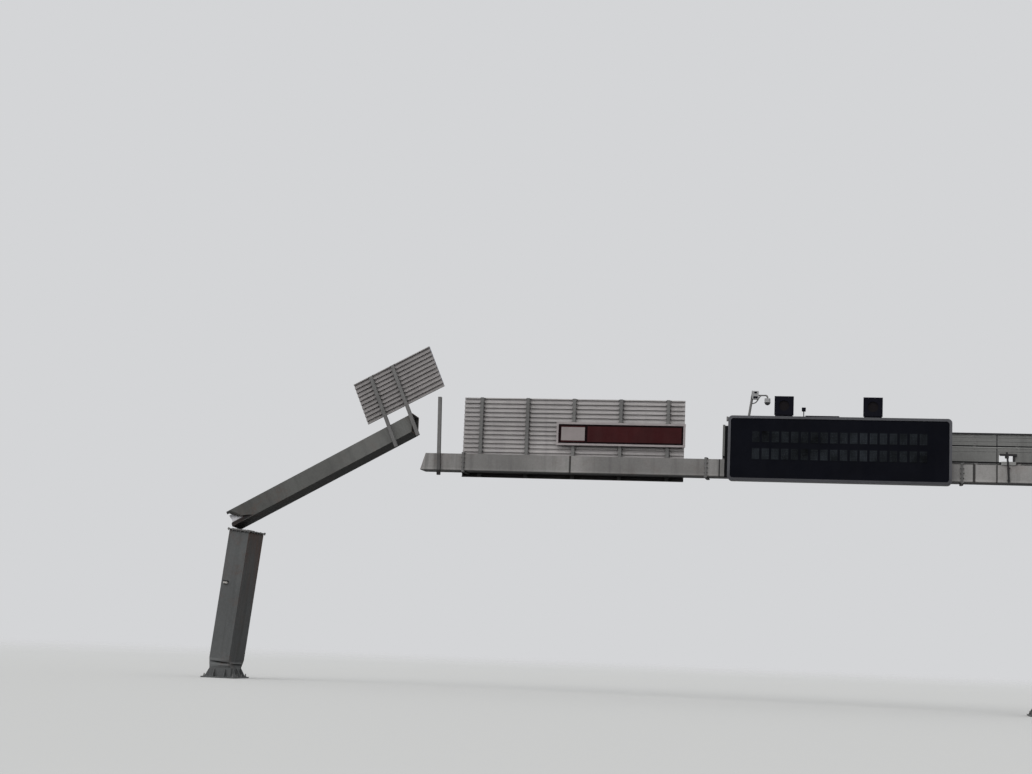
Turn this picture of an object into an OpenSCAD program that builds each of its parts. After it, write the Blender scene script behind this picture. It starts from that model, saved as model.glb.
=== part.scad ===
// Overhead sign gantry for a dual carriageway, in the state left by a collision.
// Millimetres. X runs along the gantry, Y away from the viewer, Z up.
// The origin is under the middle of the right leg's base plate.

/* [Span] */
// Distance between the centres of the two feet
leg_spacing = 23920; // [23500:10:24500]
// Height of the main beam's underside over the ground
beam_z = 6400; // [6200:10:6800]

/* [Legs] */
// Width of a leg along the gantry
leg_w = 680; // [600:10:720]
// Depth of a leg across the gantry
leg_d = 900; // [820:10:980]
// Wall of a leg
leg_wall = 20; // [12:1:30]
// Height of the flange joint in a leg
leg_joint_z = 4460; // [4200:10:4700]
// Thickness of a leg's flange
leg_flange_t = 30; // [20:1:40]
// How far a leg's flange stands proud of the leg
leg_flange_lip = 45; // [30:1:70]

/* [Feet] */
// Width of a base plate
foot_w = 1060; // [1040:10:1160]
// Depth of a base plate
foot_d = 1300; // [1240:10:1400]
// Thickness of a base plate
foot_t = 40; // [30:1:50]
// Diameter of an anchor hole
anchor_d = 40; // [30:1:48]
// Distance from an anchor hole to the plate's long edge
anchor_edge = 80; // [60:1:90]
// Distance from an outer anchor hole to the plate's short edge
anchor_end = 90; // [60:1:120]
// Spacing of the inner anchor holes
anchor_inner = 380; // [340:10:420]
// Height of a foot stiffener
rib_h = 240; // [180:10:250]
// Thickness of a foot stiffener
rib_t = 16; // [10:1:24]
// Reach of a foot stiffener from the leg
rib_l = 150; // [120:10:160]
// Height of a foot stiffener's outer edge
rib_toe = 30; // [20:5:60]

/* [Damage] */
// Lean of the struck leg
leg_lean = 5.7; // [3:0.1:9]
// Twist of the struck leg about its own axis
leg_twist = 10; // [4:1:14]
// Height at which the struck leg is folded
fold_z = 300; // [290:10:450]
// Length of the crumpled zone above the fold
crumple_l = 260; // [200:10:400]
// Slope of the broken-off beam piece
beam_tilt = 28.8; // [24:0.1:32]
// Roll of the broken-off beam piece about the torn plate's far edge
beam_roll = 4.5; // [3:0.1:7]
// How far the beam reached past the struck leg's centre while it was whole
beam_past = 380; // [320:10:480]
// How much longer the broken-off piece is at its top than at its bottom
broken_slant = 260; // [240:10:300]
// Where the broken-off piece bears, measured back from the leg's axis
bearing_x = 325; // [250:5:330]
// Length of the tear in the near web
tear_l = 750; // [600:10:900]
// How far the flap under the tear is pushed into the beam
flap_push = 20; // [10:1:30]
// How far the torn plate on the leg passes the broken-off piece's end
torn_over = 20; // [0:5:60]
// How much narrower the torn plate is than the beam, at each side
torn_inset = 30; // [10:5:60]
// Outer radius of the torn plate's curled edge
curl_r = 90; // [60:5:140]
// How far the torn plate's edge is curled up
curl_angle = 32; // [20:1:70]
// Length of main beam left beyond the last flange joint
stub_l = 1300; // [1150:10:1400]
// Slant of the torch cut at the main beam's end
cut_slant = 150; // [60:5:220]

/* [Beam] */
// Height of the box beam
beam_h = 500; // [460:10:540]
// Depth of the box beam across the gantry
beam_d = 700; // [660:10:740]
// Plate thickness of the box beam
beam_wall = 16; // [10:1:24]
// Distance from the right leg's centre to the first flange joint
first_joint = 2380; // [2200:10:2500]
// Distance from one flange joint to the next
section_l = 7200; // [7000:10:7300]
// Thickness of one flange of a beam joint
joint_t = 25; // [16:1:32]
// How far a beam joint's flange stands proud of the beam
joint_lip = 45; // [30:1:49]
// Distance from the right leg's centre to the beam's end
beam_over = 400; // [380:10:480]
// Thickness of the beam's end cap
cap_t = 12; // [8:1:20]

/* [Sign posts] */
// Width of an I-section post
post_w = 100; // [80:5:130]
// Depth of an I-section post
post_d = 100; // [80:5:110]
// Flange thickness of a post
post_tf = 10; // [6:1:14]
// Web thickness of a post
post_tw = 8; // [5:1:12]

/* [Sign planks] */
// Pitch of the extruded planks
plank_pitch = 134; // [126:1:142]
// Depth of a plank
plank_d = 45; // [35:1:55]
// Wall of a plank
plank_t = 4; // [3:0.5:6]
// Height of a plank's rear lip
plank_lip = 30; // [20:1:40]
// Joint between two planks
plank_gap = 1.5; // [1:0.5:4]
// Thickness of a sign's face sheet
sheet_t = 3; // [2:0.5:5]

/* [Large sign] */
// Width of the large sign
large_w = 6680; // [6400:10:6900]
// Distance from the second flange joint to the large sign's middle
large_mid = 4070; // [3920:10:4170]
// Number of planks in the large sign
large_n = 18; // [16:1:20]
// How far the large sign reaches below the beam
large_drop = 115; // [75:5:150]
// Spacing of the large sign's posts
large_post_pitch = 1410; // [1300:10:1450]
// How far the middle post stands to the right of the large sign's middle
large_post_mid = 35; // [0:5:60]

/* [Small sign] */
// Width of the small sign
small_w = 2600; // [2450:10:2700]
// Number of planks in the small sign
small_n = 10; // [8:1:11]
// Distance from the small sign's lower left corner to the broken piece's upper end
small_start = 1110; // [1050:10:1200]
// Height of the small sign's lower left corner over the beam
small_rise = 345; // [300:5:400]
// Turn of the small sign against the broken piece
small_turn = 1.2; // [0:0.1:2]
// Rack of the small sign, its planks shifted along each other
small_rack = 3.2; // [1:0.1:5]
// Distance from the first post's foot to the broken piece's upper end
small_post_start = 600; // [590:5:640]
// Distance from the first post to the second
small_post_pitch = 740; // [700:5:750]
// How far the small sign's posts reach below the beam
small_post_drop = 150; // [80:5:160]
// How far the two posts on the broken-off piece have slipped down
small_post_slip = 60; // [0:5:80]
// Distance from the last flange joint to the third post, left without a sign
lone_post = 730; // [600:10:900]
// Lean of the third post
lone_post_lean = 1.5; // [0:0.1:4]

/* [Tourist board] */
// Width of the tourist board's frame
board_w = 3850; // [3700:10:3950]
// Height of the tourist board's frame
board_h = 690; // [640:10:740]
// Height of the board's lower edge over the beam
board_rise = 390; // [330:10:430]
// How far the board's right end passes the large sign's
board_past = 45; // [0:5:80]
// Width of the board's frame bar
board_bar = 60; // [40:1:80]
// Thickness of the board's frame
board_t = 30; // [20:1:40]
// Height of a rail behind the board
board_rail_h = 70; // [50:1:90]
// Depth of a rail behind the board
board_rail_t = 25; // [15:1:30]

/* [Message sign] */
// Width of the message sign
vms_w = 6250; // [6050:10:6350]
// Height of the message sign
vms_h = 1860; // [1700:10:1950]
// Depth of the message sign
vms_d = 400; // [300:10:500]
// Distance from the right leg's centre to the message sign's middle
vms_mid = 5800; // [5750:10:5850]
// How far the message sign reaches below the beam
vms_drop = 140; // [60:5:200]
// Corner radius of the message sign
vms_r = 120; // [80:5:160]
// Wall of the message sign's housing
vms_wall = 8; // [5:1:12]
// Width of the front frame
vms_frame_w = 75; // [50:1:100]
// Depth of the front frame
vms_frame_t = 40; // [25:1:60]
// Recess of the display behind the front frame
vms_recess = 15; // [8:1:25]
// Number of posts behind the message sign
vms_posts = 5; // [4:1:6]
// Thickness of a door in the message sign's back
vms_door_t = 6; // [4:1:10]
// Gap between a door and a post
vms_door_gap = 50; // [30:5:80]

/* [Lanterns and camera] */
// Side of a warning lantern's backing box
lantern_w = 540; // [460:10:600]
// Depth of a warning lantern's backing box
lantern_d = 120; // [80:5:160]
// Height of a warning lantern's feet
lantern_foot_h = 55; // [40:5:80]
// Width of a warning lantern's foot
lantern_foot_w = 60; // [40:5:80]
// Distance from the message sign's left end to the left lantern's middle
lantern_left = 1565; // [1425:10:1725]
// Distance from the message sign's right end to the right lantern's middle
lantern_right = 2185; // [2025:10:2325]
// Diameter of a lantern's lens
lens_d = 300; // [200:10:340]
// Distance from the left lantern's middle to the light sensor
sensor_past = 560; // [450:10:590]
// Height of the light sensor's stalk
sensor_h = 200; // [120:10:260]
// Diameter of the light sensor's stalk
sensor_d = 30; // [20:1:40]
// Side of the light sensor's head
sensor_head = 80; // [60:5:100]
// Distance from the left lantern to the cable tray
tray_left = 340; // [340:10:450]
// Distance from the cable tray to the right lantern
tray_right = 670; // [500:10:800]
// Width of the cable tray
tray_d = 100; // [60:5:140]
// Height of the cable tray
tray_h = 45; // [30:1:70]
// Distance from the message sign's left end to the camera pole
mast_start = 570; // [425:5:675]
// Length of the camera pole
mast_h = 745; // [700:5:900]
// Diameter of the camera pole
mast_d = 70; // [50:1:90]
// Lean of the camera pole
mast_lean = 8.5; // [0:0.1:10]
// Diameter of the camera pole's base plate
mast_base_d = 160; // [130:5:200]
// Thickness of the camera pole's base plate
mast_base_t = 14; // [12:1:25]
// Height of the two clamps on the camera pole
clamp_h = 60; // [40:5:90]
// Side of a clamp on the camera pole
clamp_w = 110; // [95:5:130]
// Distance from one clamp to the other
clamp_pitch = 155; // [110:5:200]
// Height of the camera arm over the message sign
arm_z = 615; // [560:5:660]
// Reach of the camera arm from the pole's foot
arm_l = 520; // [420:10:560]
// Diameter of the camera arm
arm_d = 40; // [30:1:50]
// Radius of the elbow in the camera arm
arm_bend = 60; // [50:5:80]
// How far the elbow stands proud of the camera arm
elbow_lip = 4; // [3:1:8]
// Height of the camera hood's top over the message sign
hood_z = 525; // [480:5:540]
// Height of the camera's hood
hood_h = 110; // [80:5:130]
// Diameter of the camera's dome
dome_d = 170; // [140:5:200]

/* [Walkway] */
// Thickness of the walkway's floor
floor_t = 40; // [30:1:50]
// How far a floor bearer stands over the flange joints
bearer_over = 5; // [2:1:20]
// Width of a floor bearer
bearer_w = 80; // [60:1:100]
// How far the walkway reaches behind the beam
walk_over = 250; // [200:10:300]
// Distance from the right leg's centre to the walkway's left end
walk_start = 9110; // [9010:10:9200]
// Number of floor bearers, each with a parapet post
guard_n = 9; // [7:1:11]
// Depth of a parapet post
guard_post_d = 50; // [40:1:60]
// Height of the parapet's lower panel
guard_low_h = 495; // [440:5:520]
// Height of the parapet's upper panel
guard_high_h = 350; // [300:5:380]
// Gap under the lower panel
guard_toe = 30; // [20:1:60]
// Gap between the two panels
guard_gap = 35; // [25:1:60]
// Depth of a parapet panel
guard_t = 30; // [20:1:40]
// Sheet thickness of a parapet panel
guard_sheet = 4; // [3:0.5:6]
// Width of the notch in the lower panel
notch_w = 400; // [300:10:450]
// Height of the notch's top over the floor
notch_h = 290; // [240:10:320]
// Distance from the right leg's centre to the notch's middle
notch_mid = 1115; // [1050:5:1200]
// Width of the floor's strip left behind the opening under the notch
hatch_rim = 100; // [80:5:140]

/* [Hidden] */
// Arcs are drawn with this many sides
$fn = 64;
// Clearance between pieces that lie one on the other at an angle
seat_gap = 0.3;
// Overshoot of a cutting solid
cut = 2;
// Course of the tear from the end face to its tip, in shares of its length and height
tear_line = [[0, 0.86], [0.16, 0.84], [0.25, 0.66], [0.47, 0.34], [0.59, 0.3], [0.8, 0.18], [1, 0]];
// Course of the flap's end edge from the bottom up, in the same shares
flap_edge = [[0, 0], [0, 0.18], [0.07, 0.33]];

beam_top = beam_z + beam_h;
beam_front = -beam_d / 2;
beam_back = beam_d / 2;
joint_x = [for (i = [0:2]) -first_joint - i * section_l];
stub_end = joint_x[2] - stub_l;
broken_l = leg_spacing + beam_past + stub_end;

leg_joint_low = leg_joint_z - leg_flange_t;
leg_head_z = beam_z - leg_flange_t;
upper_leg_z = leg_joint_z + leg_flange_t;
lean_l = leg_joint_low - fold_z;

anchor_x = foot_w / 2 - anchor_edge;
anchor_y = foot_d / 2 - anchor_end;

torn_t = beam_wall;
torn_z = lean_l + leg_flange_t;
bearing_z = torn_z + torn_t + seat_gap;

large_x = joint_x[1] - large_mid;
large_z = beam_z - large_drop;
large_h = large_n * plank_pitch;
large_y = beam_back + post_d;

small_z = beam_h + small_rise;
small_h = small_n * plank_pitch;
small_top = small_z + small_h;
small_post_l = small_top + small_post_drop;
tear_h = beam_h - beam_wall;

board_back = beam_back - board_rail_t;
board_z = beam_top + board_rise;
board_right = large_x + large_w / 2 + board_past;

vms_z = beam_z - vms_drop;
vms_back = beam_front - post_d;
vms_front = vms_back - vms_d;
vms_top = vms_z + vms_h;
vms_body_d = vms_d - vms_frame_t;
vms_left = -vms_mid - vms_w / 2;
vms_post_pitch = (vms_w - 2 * vms_r - post_w) / (vms_posts - 1);
lantern_x = [lantern_left, vms_w - lantern_right];

bearer_h = joint_lip + bearer_over;
floor_z = beam_top + bearer_h;
floor_top = floor_z + floor_t;
walk_back = beam_back + walk_over;
walk_end = beam_over;
walk_l = walk_start + walk_end;
guard_pitch = (walk_l - bearer_w) / (guard_n - 1);
guard_low_z = floor_top + guard_toe;
guard_high_z = guard_low_z + guard_low_h + guard_gap;
guard_top = guard_high_z + guard_high_h;

steel = "#8d8c89";
shade_steel = "#7c7b78";
pale_steel = "#a9a8a5";
slat_grey = "#b4b2ae";
near_black = "#17181d";
dark_amber = "#2c2219";
dull_white = "#9a9a9a";
sign_blue = "#2b4f80";
brown = "#5a2a22";

// A box beam without ends, its lower left edge on the origin
module beam_shell(l) {
    translate([0, beam_front, 0])
        difference() {
            cube([l, beam_d, beam_h]);
            translate([-cut, beam_wall, beam_wall])
                cube([l + 2 * cut, beam_d - 2 * beam_wall, beam_h - 2 * beam_wall]);
        }
}

// An upright box leg without ends
module leg_shell(h) {
    difference() {
        translate([-leg_w / 2, -leg_d / 2, 0])
            cube([leg_w, leg_d, h]);
        translate([leg_wall - leg_w / 2, leg_wall - leg_d / 2, -cut])
            cube([leg_w - 2 * leg_wall, leg_d - 2 * leg_wall, h + 2 * cut]);
    }
}

// A flange plate for a leg
module leg_flange() {
    w = leg_w + 2 * leg_flange_lip;
    d = leg_d + 2 * leg_flange_lip;
    translate([-w / 2, -d / 2, 0])
        cube([w, d, leg_flange_t]);
}

// An I-section post that stands on its lower end, its near flange on y = 0
module i_post(h) {
    w = post_w / 2;
    t = post_tw / 2;
    linear_extrude(h)
        polygon([
            [-w, 0], [w, 0], [w, post_tf], [t, post_tf], [t, post_d - post_tf], [w, post_d - post_tf],
            [w, post_d], [-w, post_d], [-w, post_d - post_tf], [-t, post_d - post_tf], [-t, post_tf],
            [-w, post_tf]
        ]);
}

// One extruded plank of a sign, open towards the viewer
module plank(l) {
    h = plank_pitch - plank_gap;
    t = plank_t;
    d = plank_d;
    rotate([90, 0, 90])
        linear_extrude(l)
            polygon([
                [0, 0], [d, 0], [d, h], [0, h], [0, h - plank_lip], [t, h - plank_lip], [t, h - t],
                [d - t, h - t], [d - t, t], [t, t], [t, plank_lip], [0, plank_lip]
            ]);
}

// The planks of one sign, one over the other
module planks(l, n) {
    for (i = [0:n - 1])
        translate([0, 0, i * plank_pitch])
            plank(l);
}

// A plate with its four corners rounded, in the plane of the gantry
module rounded_plate(w, h, r, d) {
    rotate([90, 0, 0])
        translate([0, 0, -d])
            linear_extrude(d) {
                translate([r, 0])
                    square([w - 2 * r, h]);
                translate([0, r])
                    square([w, h - 2 * r]);
                for (x = [r, w - r], y = [r, h - r])
                    translate([x, y])
                        circle(r);
            }
}

// A base plate with its eight anchor holes
module base_plate() {
    difference() {
        translate([-foot_w / 2, -foot_d / 2, 0])
            cube([foot_w, foot_d, foot_t]);
        for (x = [-anchor_x, anchor_x], y = [-anchor_y, -anchor_inner / 2, anchor_inner / 2, anchor_y])
            translate([x, y, -cut])
                cylinder(h = foot_t + 2 * cut, d = anchor_d);
    }
}

// One tapered stiffener, its upright edge on x = 0
module rib() {
    translate([0, rib_t / 2, 0])
        rotate([90, 0, 0])
            linear_extrude(rib_t)
                polygon([[0, 0], [rib_l, 0], [rib_l, rib_toe], [rib_toe, rib_h], [0, rib_h]]);
}

// The stiffeners round one foot
module base_ribs() {
    side_y = (anchor_y + anchor_inner / 2) / 2;
    for (side = [0, 180], y = [-side_y, 0, side_y])
        rotate([0, 0, side])
            translate([leg_w / 2, y, foot_t])
                rib();
    for (side = [90, 270], x = [-leg_w / 4, leg_w / 4])
        rotate([0, 0, side])
            translate([leg_d / 2, x, foot_t])
                rib();
}

// Places a piece on the struck leg's leaning axis, measured from the fold
module on_leaning_leg() {
    translate([-leg_spacing, 0, fold_z])
        rotate([0, leg_lean, 0])
            children();
}

// Places a piece on the broken-off beam, which rests on the torn plate's far edge
module on_broken_beam() {
    rest_y = beam_back - torn_inset;
    on_leaning_leg()
        translate([-bearing_x, rest_y, bearing_z])
            rotate([0, -leg_lean - beam_tilt, 0])
                rotate([-beam_roll, 0, 0])
                    translate([0, -rest_y, 0])
                        children();
}

// Places a piece on the small sign's frame, its lower left corner on the origin
module on_small_sign() {
    on_broken_beam()
        translate([broken_l - small_start, beam_front, small_z])
            rotate([0, small_turn, 0])
                children();
}

// A thin level slice of a leg's outline
module leg_slice(wall) {
    translate([wall - leg_w / 2, wall - leg_d / 2, 0])
        cube([leg_w - 2 * wall, leg_d - 2 * wall, cut]);
}

module left_base_plate() {
    color(steel)
        translate([-leg_spacing, 0, 0])
            base_plate();
}

module left_base_ribs() {
    color(steel)
        translate([-leg_spacing, 0, 0])
            base_ribs();
}

// The upright foot of the struck leg
module left_leg_stub() {
    color(steel)
        translate([-leg_spacing, 0, foot_t])
            leg_shell(fold_z - foot_t);
}

// A solid that runs from the upright foot's outline to the leaning shaft's outline
module fold_solid(wall, over) {
    hull() {
        translate([-leg_spacing, 0, fold_z - over])
            leg_slice(wall);
        on_leaning_leg()
            rotate([0, 0, -leg_twist])
                translate([0, 0, crumple_l + over - cut])
                    leg_slice(wall);
    }
}

// The crumpled zone of the struck leg
module left_leg_fold() {
    color(steel)
        difference() {
            fold_solid(0, 0);
            fold_solid(leg_wall, cut);
        }
}

module left_leg() {
    color(steel)
        on_leaning_leg()
            rotate([0, 0, -leg_twist])
                translate([0, 0, crumple_l])
                    leg_shell(lean_l - crumple_l);
}

module left_leg_flange() {
    color(pale_steel)
        on_leaning_leg()
            rotate([0, 0, -leg_twist])
                translate([0, 0, lean_l])
                    leg_flange();
}

// What is left of the beam's lower plate, bolted to the leg and curled up at its free edge
module torn_seat_plate() {
    flat = bearing_x + leg_w / 6;
    far = 2 * curl_r;
    color(pale_steel)
        on_leaning_leg()
            translate([-bearing_x - torn_over, 0, torn_z])
                rotate([90, 0, 0])
                    linear_extrude(beam_d - 2 * torn_inset, center = true) {
                        square([flat, torn_t]);
                        translate([flat, curl_r])
                            intersection() {
                                difference() {
                                    circle(curl_r);
                                    circle(curl_r - torn_t);
                                }
                                polygon([[0, 0], [0, -far], [far * tan(curl_angle), -far]]);
                            }
                    }
}

// Points on a torn edge, from their shares of the tear's length and height
function torn(edge) = [for (p = edge) [p[0] * tear_l, beam_wall + p[1] * (tear_h - beam_wall)]];

// The part of the near web under the tear, in front of the web's outer face
module torn_part(corners) {
    translate([0, beam_front + beam_wall, 0])
        rotate([90, 0, 0])
            linear_extrude(beam_wall + cut)
                polygon(corners);
}

// The near web's flap under the tear, bent inwards about its lower edge
module torn_flap() {
    translate([0, beam_front, beam_wall])
        rotate([-flap_push, 0, 0])
            translate([0, beam_wall, -beam_wall])
                rotate([90, 0, 0])
                    linear_extrude(beam_wall)
                        polygon(concat(torn(flap_edge), torn(tear_line)));
}

// The broken-off end of the beam, open at both ends and torn at the leg
module broken_beam() {
    top_l = broken_l + broken_slant;
    color(steel)
        on_broken_beam() {
            difference() {
                beam_shell(top_l);
                torn_part(concat([[-cut, beam_wall], [-cut, torn(tear_line)[0][1]]], torn(tear_line)));
                translate([0, beam_back + cut, 0])
                    rotate([90, 0, 0])
                        linear_extrude(beam_d + 2 * cut)
                            polygon([
                                [broken_l, -cut], [top_l + 2 * cut, -cut], [top_l + 2 * cut, beam_h + cut],
                                [top_l, beam_h + cut], [top_l, beam_h], [broken_l, 0]
                            ]);
            }
            torn_flap();
        }
}

module small_sign_planks() {
    color(slat_grey)
        on_small_sign()
            for (i = [0:small_n - 1])
                translate([i * plank_pitch * tan(small_rack), 0, i * plank_pitch])
                    plank(small_w);
}

module small_sign_face() {
    h = small_h - plank_gap;
    shift = h * tan(small_rack);
    color(sign_blue)
        on_small_sign()
            translate([0, plank_d + sheet_t, 0])
                rotate([90, 0, 0])
                    linear_extrude(sheet_t)
                        polygon([[0, 0], [small_w, 0], [small_w + shift, h], [shift, h]]);
}

module small_sign_posts() {
    foot = -small_post_drop - small_post_slip;
    color(slat_grey)
        on_broken_beam()
            for (x = [0, small_post_pitch])
                translate([broken_l - small_post_start + x, beam_front - post_d, foot])
                    rotate([0, small_turn + small_rack, 0])
                        i_post(small_post_l);
}

// The small sign's third post, left standing on the stub of the main beam
module lone_post() {
    color(slat_grey)
        translate([joint_x[2] - lone_post, beam_front - post_d, beam_z + beam_h / 2])
            rotate([0, -lone_post_lean, 0])
                translate([0, 0, -beam_h / 2 - small_post_drop])
                    i_post(small_post_l);
}

// The end of the main beam, torch-cut at a slant
module beam_stub() {
    l = stub_l - joint_t;
    color(steel)
        translate([stub_end, 0, beam_z])
            difference() {
                beam_shell(l);
                translate([0, beam_back + cut, 0])
                    rotate([90, 0, 0])
                        linear_extrude(beam_d + 2 * cut)
                            polygon([
                                [-cut, -cut], [0, -cut], [0, 0], [cut_slant, beam_h],
                                [cut_slant, beam_h + cut], [-cut, beam_h + cut]
                            ]);
            }
}

// One length of the main beam between two flange joints
module beam_section(i) {
    color(steel)
        translate([joint_x[i] + joint_t, 0, beam_z])
            beam_shell(section_l - 2 * joint_t);
}

module beam_section_right() {
    color(steel)
        translate([joint_x[0] + joint_t, 0, beam_z])
            beam_shell(first_joint + beam_over - joint_t - cap_t);
}

module beam_flange(x) {
    translate([x, beam_front - joint_lip, beam_z - joint_lip])
        cube([joint_t, beam_d + 2 * joint_lip, beam_h + 2 * joint_lip]);
}

module beam_flanges_left() {
    color(shade_steel)
        for (x = joint_x)
            beam_flange(x - joint_t);
}

module beam_flanges_right() {
    color(shade_steel)
        for (x = joint_x)
            beam_flange(x);
}

module beam_end_cap() {
    color(steel)
        translate([beam_over - cap_t, beam_front, beam_z])
            cube([cap_t, beam_d, beam_h]);
}

module large_sign_posts() {
    color(slat_grey)
        for (i = [-2:2])
            translate([large_x + large_post_mid + i * large_post_pitch, beam_back, large_z])
                i_post(large_h - plank_gap);
}

module large_sign_planks() {
    color(slat_grey)
        translate([large_x - large_w / 2, large_y, large_z])
            planks(large_w, large_n);
}

module large_sign_face() {
    color(sign_blue)
        translate([large_x - large_w / 2, large_y + plank_d, large_z])
            cube([large_w, sheet_t, large_h - plank_gap]);
}

module board_rails() {
    color(slat_grey)
        for (z = [board_z, board_z + board_h - board_rail_h])
            translate([board_right - board_w, board_back, z])
                cube([board_w, board_rail_t, board_rail_h]);
}

module board_frame() {
    color(slat_grey)
        translate([board_right - board_w, board_back - board_t, board_z])
            difference() {
                cube([board_w, board_t, board_h]);
                translate([board_bar, -cut, board_bar])
                    cube([board_w - 2 * board_bar, board_t + 2 * cut, board_h - 2 * board_bar]);
            }
}

module board_panel() {
    color(brown)
        translate([board_right - board_w + board_bar, board_back - board_t / 2, board_z + board_bar])
            cube([board_w - 2 * board_bar, board_t / 2, board_h - 2 * board_bar]);
}

module message_sign_posts() {
    color(steel)
        for (i = [0:vms_posts - 1])
            translate([vms_left + vms_r + post_w / 2 + i * vms_post_pitch, vms_back, vms_z + vms_r])
                i_post(vms_h - 2 * vms_r);
}

// The housing is a tray, open towards the viewer
module message_sign_housing() {
    color(shade_steel)
        translate([vms_left, vms_back - vms_body_d, vms_z])
            difference() {
                rounded_plate(vms_w, vms_h, vms_r, vms_body_d);
                translate([vms_wall, -cut, vms_wall])
                    rounded_plate(vms_w - 2 * vms_wall, vms_h - 2 * vms_wall, vms_r - vms_wall,
                                  vms_body_d - vms_wall + cut);
            }
}

module message_sign_frame() {
    inner_r = vms_r - vms_frame_w / 2;
    color(pale_steel)
        translate([vms_left, vms_front, vms_z])
            difference() {
                rounded_plate(vms_w, vms_h, vms_r, vms_frame_t);
                translate([vms_frame_w, -cut, vms_frame_w])
                    rounded_plate(vms_w - 2 * vms_frame_w, vms_h - 2 * vms_frame_w, inner_r,
                                  vms_frame_t + 2 * cut);
            }
}

module message_sign_display() {
    inner_r = vms_r - vms_frame_w / 2;
    color(near_black)
        translate([vms_left + vms_frame_w, vms_front + vms_recess, vms_z + vms_frame_w])
            rounded_plate(vms_w - 2 * vms_frame_w, vms_h - 2 * vms_frame_w, inner_r,
                          vms_frame_t - vms_recess);
}

// Doors on the back of the housing, one between each two posts
module message_sign_doors() {
    color(pale_steel)
        for (i = [0:vms_posts - 2])
            translate([vms_left + vms_r + i * vms_post_pitch, vms_back, vms_z + vms_r])
                translate([post_w + vms_door_gap, 0, 0])
                    cube([vms_post_pitch - post_w - 2 * vms_door_gap, vms_door_t, vms_h - 2 * vms_r]);
}

// Places a piece on top of the message sign, measured from its left end
module on_message_sign(x) {
    translate([vms_left + x, vms_front + vms_d / 2, vms_top])
        children();
}

module lantern_boxes() {
    foot = lantern_foot_w;
    color(near_black)
        for (x = lantern_x)
            on_message_sign(x)
                difference() {
                    union() {
                        translate([-lantern_w / 2, -lantern_d / 2, lantern_foot_h])
                            cube([lantern_w, lantern_d, lantern_w]);
                        for (side = [-1, 1])
                            translate([side * lantern_w / 4 - foot / 2, -foot / 2, 0])
                                cube([foot, foot, lantern_foot_h + cut]);
                    }
                    translate([0, -lantern_d / 2 - cut, lantern_foot_h + lantern_w / 2])
                        rotate([-90, 0, 0])
                            cylinder(h = lantern_d / 2 + cut, d = lens_d);
                }
}

module lantern_lenses() {
    color(dark_amber)
        for (x = lantern_x)
            on_message_sign(x)
                translate([0, -lantern_d / 4, lantern_foot_h + lantern_w / 2])
                    rotate([-90, 0, 0])
                        cylinder(h = lantern_d / 4, d = lens_d);
}

module light_sensor() {
    color(shade_steel)
        on_message_sign(lantern_left + sensor_past) {
            cylinder(h = sensor_h, d = sensor_d);
            translate([-sensor_head / 2, -sensor_head / 2, sensor_h])
                cube([sensor_head, sensor_head, sensor_head]);
        }
}

module cable_tray() {
    start = lantern_x[0] + lantern_w / 2 + tray_left;
    end = lantern_x[1] - lantern_w / 2 - tray_right;
    color(near_black)
        on_message_sign(start)
            translate([0, -tray_d / 2, 0])
                cube([end - start, tray_d, tray_h]);
}

// The camera's arm, from the pole's axis out and down to the hood
module camera_arm() {
    start = arm_z * tan(mast_lean);
    translate([start, 0, arm_z])
        rotate([0, 90, 0])
            cylinder(h = arm_l - arm_bend - start + cut, d = arm_d);
    translate([arm_l - arm_bend, 0, arm_z - arm_bend])
        rotate([90, 0, 0])
            rotate_extrude(angle = 90)
                translate([arm_bend, 0])
                    circle(d = arm_d + 2 * elbow_lip);
    translate([arm_l, 0, hood_z])
        cylinder(h = arm_z - arm_bend - hood_z + cut, d = arm_d);
}

module camera_pole() {
    color(pale_steel)
        on_message_sign(mast_start) {
            cylinder(h = mast_base_t, d = mast_base_d);
            rotate([0, mast_lean, 0]) {
                translate([0, 0, mast_base_t / 2])
                    cylinder(h = mast_h - mast_base_t / 2, d = mast_d);
                for (z = [mast_h - clamp_h, mast_h - clamp_h - clamp_pitch])
                    translate([-mast_d / 2, -clamp_w / 2, z])
                        cube([clamp_w, clamp_w, clamp_h]);
            }
            camera_arm();
        }
}

module camera_hood() {
    color(dull_white)
        on_message_sign(mast_start + arm_l)
            translate([0, 0, hood_z - hood_h])
                cylinder(h = hood_h, d = dome_d);
}

// The half sphere under the hood
module camera_dome() {
    r = dome_d / 2;
    color(near_black)
        on_message_sign(mast_start + arm_l)
            translate([0, 0, hood_z - hood_h])
                rotate_extrude()
                    intersection() {
                        circle(r);
                        translate([0, -dome_d])
                            square(dome_d);
                    }
}

// Places a piece at each of the walkway's bearers
module each_bearer() {
    for (i = [0:guard_n - 1])
        translate([-walk_start + i * guard_pitch, 0, 0])
            children();
}

// The room that a flange joint needs under the walkway
module joint_room(x) {
    translate([x - joint_t - seat_gap, beam_front - cut, beam_top - cut])
        cube([2 * joint_t + 2 * seat_gap, beam_d + joint_lip + seat_gap + cut, joint_lip + seat_gap + cut]);
}

module walkway_bearers() {
    color(shade_steel)
        difference() {
            each_bearer()
                translate([0, beam_front, beam_top])
                    cube([bearer_w, beam_d + walk_over + guard_post_d, bearer_h]);
            for (x = joint_x)
                joint_room(x);
        }
}

// The walkway's floor, open under the notch in the parapet
module walkway_floor() {
    d = walk_back - beam_front;
    color(pale_steel)
        translate([0, beam_front, floor_z])
            difference() {
                translate([-walk_start, 0, 0])
                    cube([walk_l, d, floor_t]);
                translate([-notch_mid - notch_w / 2, -cut, -cut])
                    cube([notch_w, d - hatch_rim + cut, floor_t + 2 * cut]);
            }
}

module parapet_posts() {
    color(shade_steel)
        each_bearer()
            translate([0, walk_back, floor_z])
                cube([bearer_w, guard_post_d, guard_top - floor_z]);
}

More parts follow.
